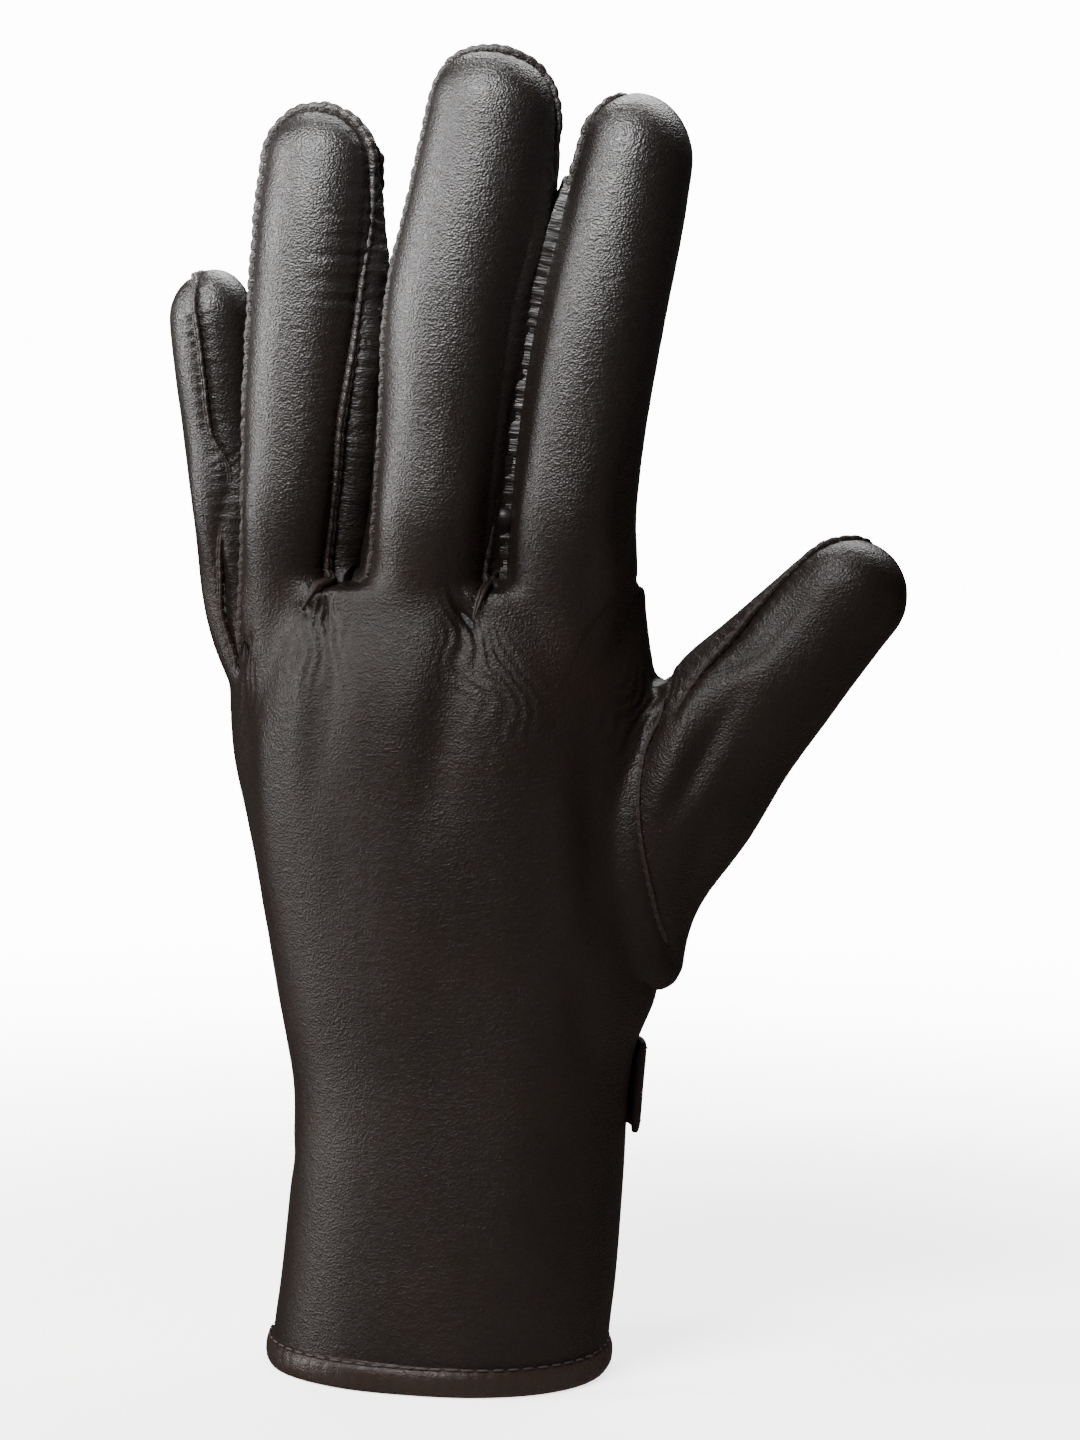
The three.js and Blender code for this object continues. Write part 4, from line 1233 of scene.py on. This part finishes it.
def gunmetal(name, rough):
    """Brass with a gunmetal plating, tumbled smooth: a dark mirror, rubbed brighter in patches."""
    material, tree, shader = new_material(name)
    rest = node(tree, "ShaderNodeAttribute", attribute_name="rest").outputs["Vector"]
    rubs = node(tree, "ShaderNodeTexNoise", {"Vector": rest}, in_Scale=1.3, in_Detail=6.0)
    tint = node(tree, "ShaderNodeMix", {"Factor": rubs.outputs["Fac"]}, data_type="RGBA")
    tint.inputs[6].default_value = linear("#3A3735")
    tint.inputs[7].default_value = linear("#5C5753")
    shine = node(tree, "ShaderNodeMapRange", {"Value": rubs.outputs["Fac"]},
                 in_To_Min=rough - 0.06, in_To_Max=rough + 0.1)
    tree.links.new(tint.outputs[2], shader.inputs["Base Color"])
    tree.links.new(shine.outputs[0], shader.inputs["Roughness"])
    shader.inputs["Metallic"].default_value = 1.0
    return material


plated = gunmetal("gunmetal_plated_brass", 0.24)
snap_angle = outline_angle(-16.0, strap_middle)
snap_base = hand_outline(np.array(snap_angle), np.array(strap_middle))
snap_out = hand_normal(np.array(snap_angle), np.array(strap_middle))
snap_side = np.cross([0, 0, 1.0], snap_out)


def turned(name, profile, body, stands_for):
    """A turned part about the snap's axis, from radii and heights above the palm."""
    angles = np.linspace(0, 2 * np.pi, 48, endpoint=False)
    spokes = np.cos(angles)[:, None] * snap_side + np.sin(angles)[:, None] * np.array([0, 0, 1.0])
    rings = np.array([snap_base + snap_out * h + spokes * max(r, 0.02) for r, h in profile])
    points, faces = closed_loft(rings)
    thing = finished(name, plain_mesh(name, points, faces), points, plated)
    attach(thing, body)
    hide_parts(stands_for)


STRAP_TOP = STRAP_CLEAR + STRAP_THICK
turned("snap_cap_dome", [
    (5.4, STRAP_TOP), (5.95, STRAP_TOP + 0.12), (6.0, STRAP_TOP + 0.35), (5.7, STRAP_TOP + 0.62),
    (4.9, STRAP_TOP + 0.86), (3.6, STRAP_TOP + 1.05), (1.9, STRAP_TOP + 1.16), (0, STRAP_TOP + 1.2),
], "strap", "snap_cap")
turned("snap_socket_ring", [
    (3.8, 0.55), (4.2, 0.5), (4.8, 0.55), (5.0, 0.8), (5.0, STRAP_TOP - 0.6), (3.9, STRAP_TOP - 0.5),
    (3.7, STRAP_TOP - 0.9), (3.8, 0.9),
], "strap", "snap_socket")
turned("snap_stud_button", [(1.2, -1.5), (1.2, 0.1), (2.6, 0.18), (2.9, 0.4), (2.75, 0.8), (2.9, 1.1), (2.5, 1.35),
                            (1.2, 1.4), (0, 1.38)], "hand", "snap_stud")
turned("snap_post_disc", [(4.1, -2.6), (4.4, -2.45), (4.4, -2.05), (4.1, -1.92), (0, -1.9)], "hand", "snap_post")


# ---------------------------------------------------------------- touchscreen pads
# Oval patches of leather with a conducting finish on the palm side of the index finger and thumb, set
# on flat and sewn round, so that the wearer can work a screen.

PAD_HALF_WIDTH, PAD_HALF_LENGTH = 6.5, 7.5
PAD_SIDES = 64

# Nappa with a carbon-loaded finish: flatter and greyer than the glove, almost without wrinkles.
pad_leather = nappa("conductive_nappa", "#1A1919", "#262423", gloss=0.52, grain_depth=0.9, wrinkle_depth=0.1)


def touch_pad(name, finger, station, body, stands_for):
    """A pad laid on the palm side of a tip: rings from its middle to its edge, dropped onto the skin."""
    t = tables[finger]
    centre, along = read_table(t, "centre", station), read_table(t, "along", station)
    outward = unit(t["palmward"] - along * (t["palmward"] @ along))
    across = np.cross(outward, along)
    shell = BVHTree.FromPolygons(skin_points.tolist(), skin_faces.tolist())
    rings = []
    for share, proud in ((0.02, 0.62), (0.3, 0.62), (0.6, 0.6), (0.82, 0.56), (0.93, 0.48), (0.985, 0.3),
                         (1.0, 0.05), (0.99, -0.3)):
        ring = []
        for angle in np.linspace(0, 2 * np.pi, PAD_SIDES, endpoint=False):
            sideways = across * PAD_HALF_WIDTH * share * math.cos(angle)
            spot = centre + sideways + along * PAD_HALF_LENGTH * share * math.sin(angle)
            hit = shell.ray_cast(Vector(spot + outward * 30), Vector(-outward))
            ring.append(np.array(hit[0]) + np.array(hit[1]) * proud)
        rings.append(ring)
    points, faces = closed_loft(np.array(rings)[::-1])
    quads = np.array([f for f in faces if len(f) == 4])
    pad = piece(name, points, quads, None, pad_leather)
    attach(pad, body)
    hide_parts(stands_for)
    sewing = Heap()
    edge = np.array(rings[3]) * 0.55 + np.array(rings[4]) * 0.45
    edge = np.concatenate([edge, edge[:1]])
    for k in range(0, PAD_SIDES - 2, 3):
        sewing.add(capsule(edge[k] + outward * 0.05, edge[k + 2] + outward * 0.05, 0.15))
    sewn = sewing.piece(name + "_stitches", thread)
    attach(sewn, body)


touch_pad("index_screen_pad", "index", 238.5, "index_tip", "index_touch_pad")
touch_pad("thumb_screen_pad", "thumb", 169.0, "thumb_tip", "thumb_touch_pad")
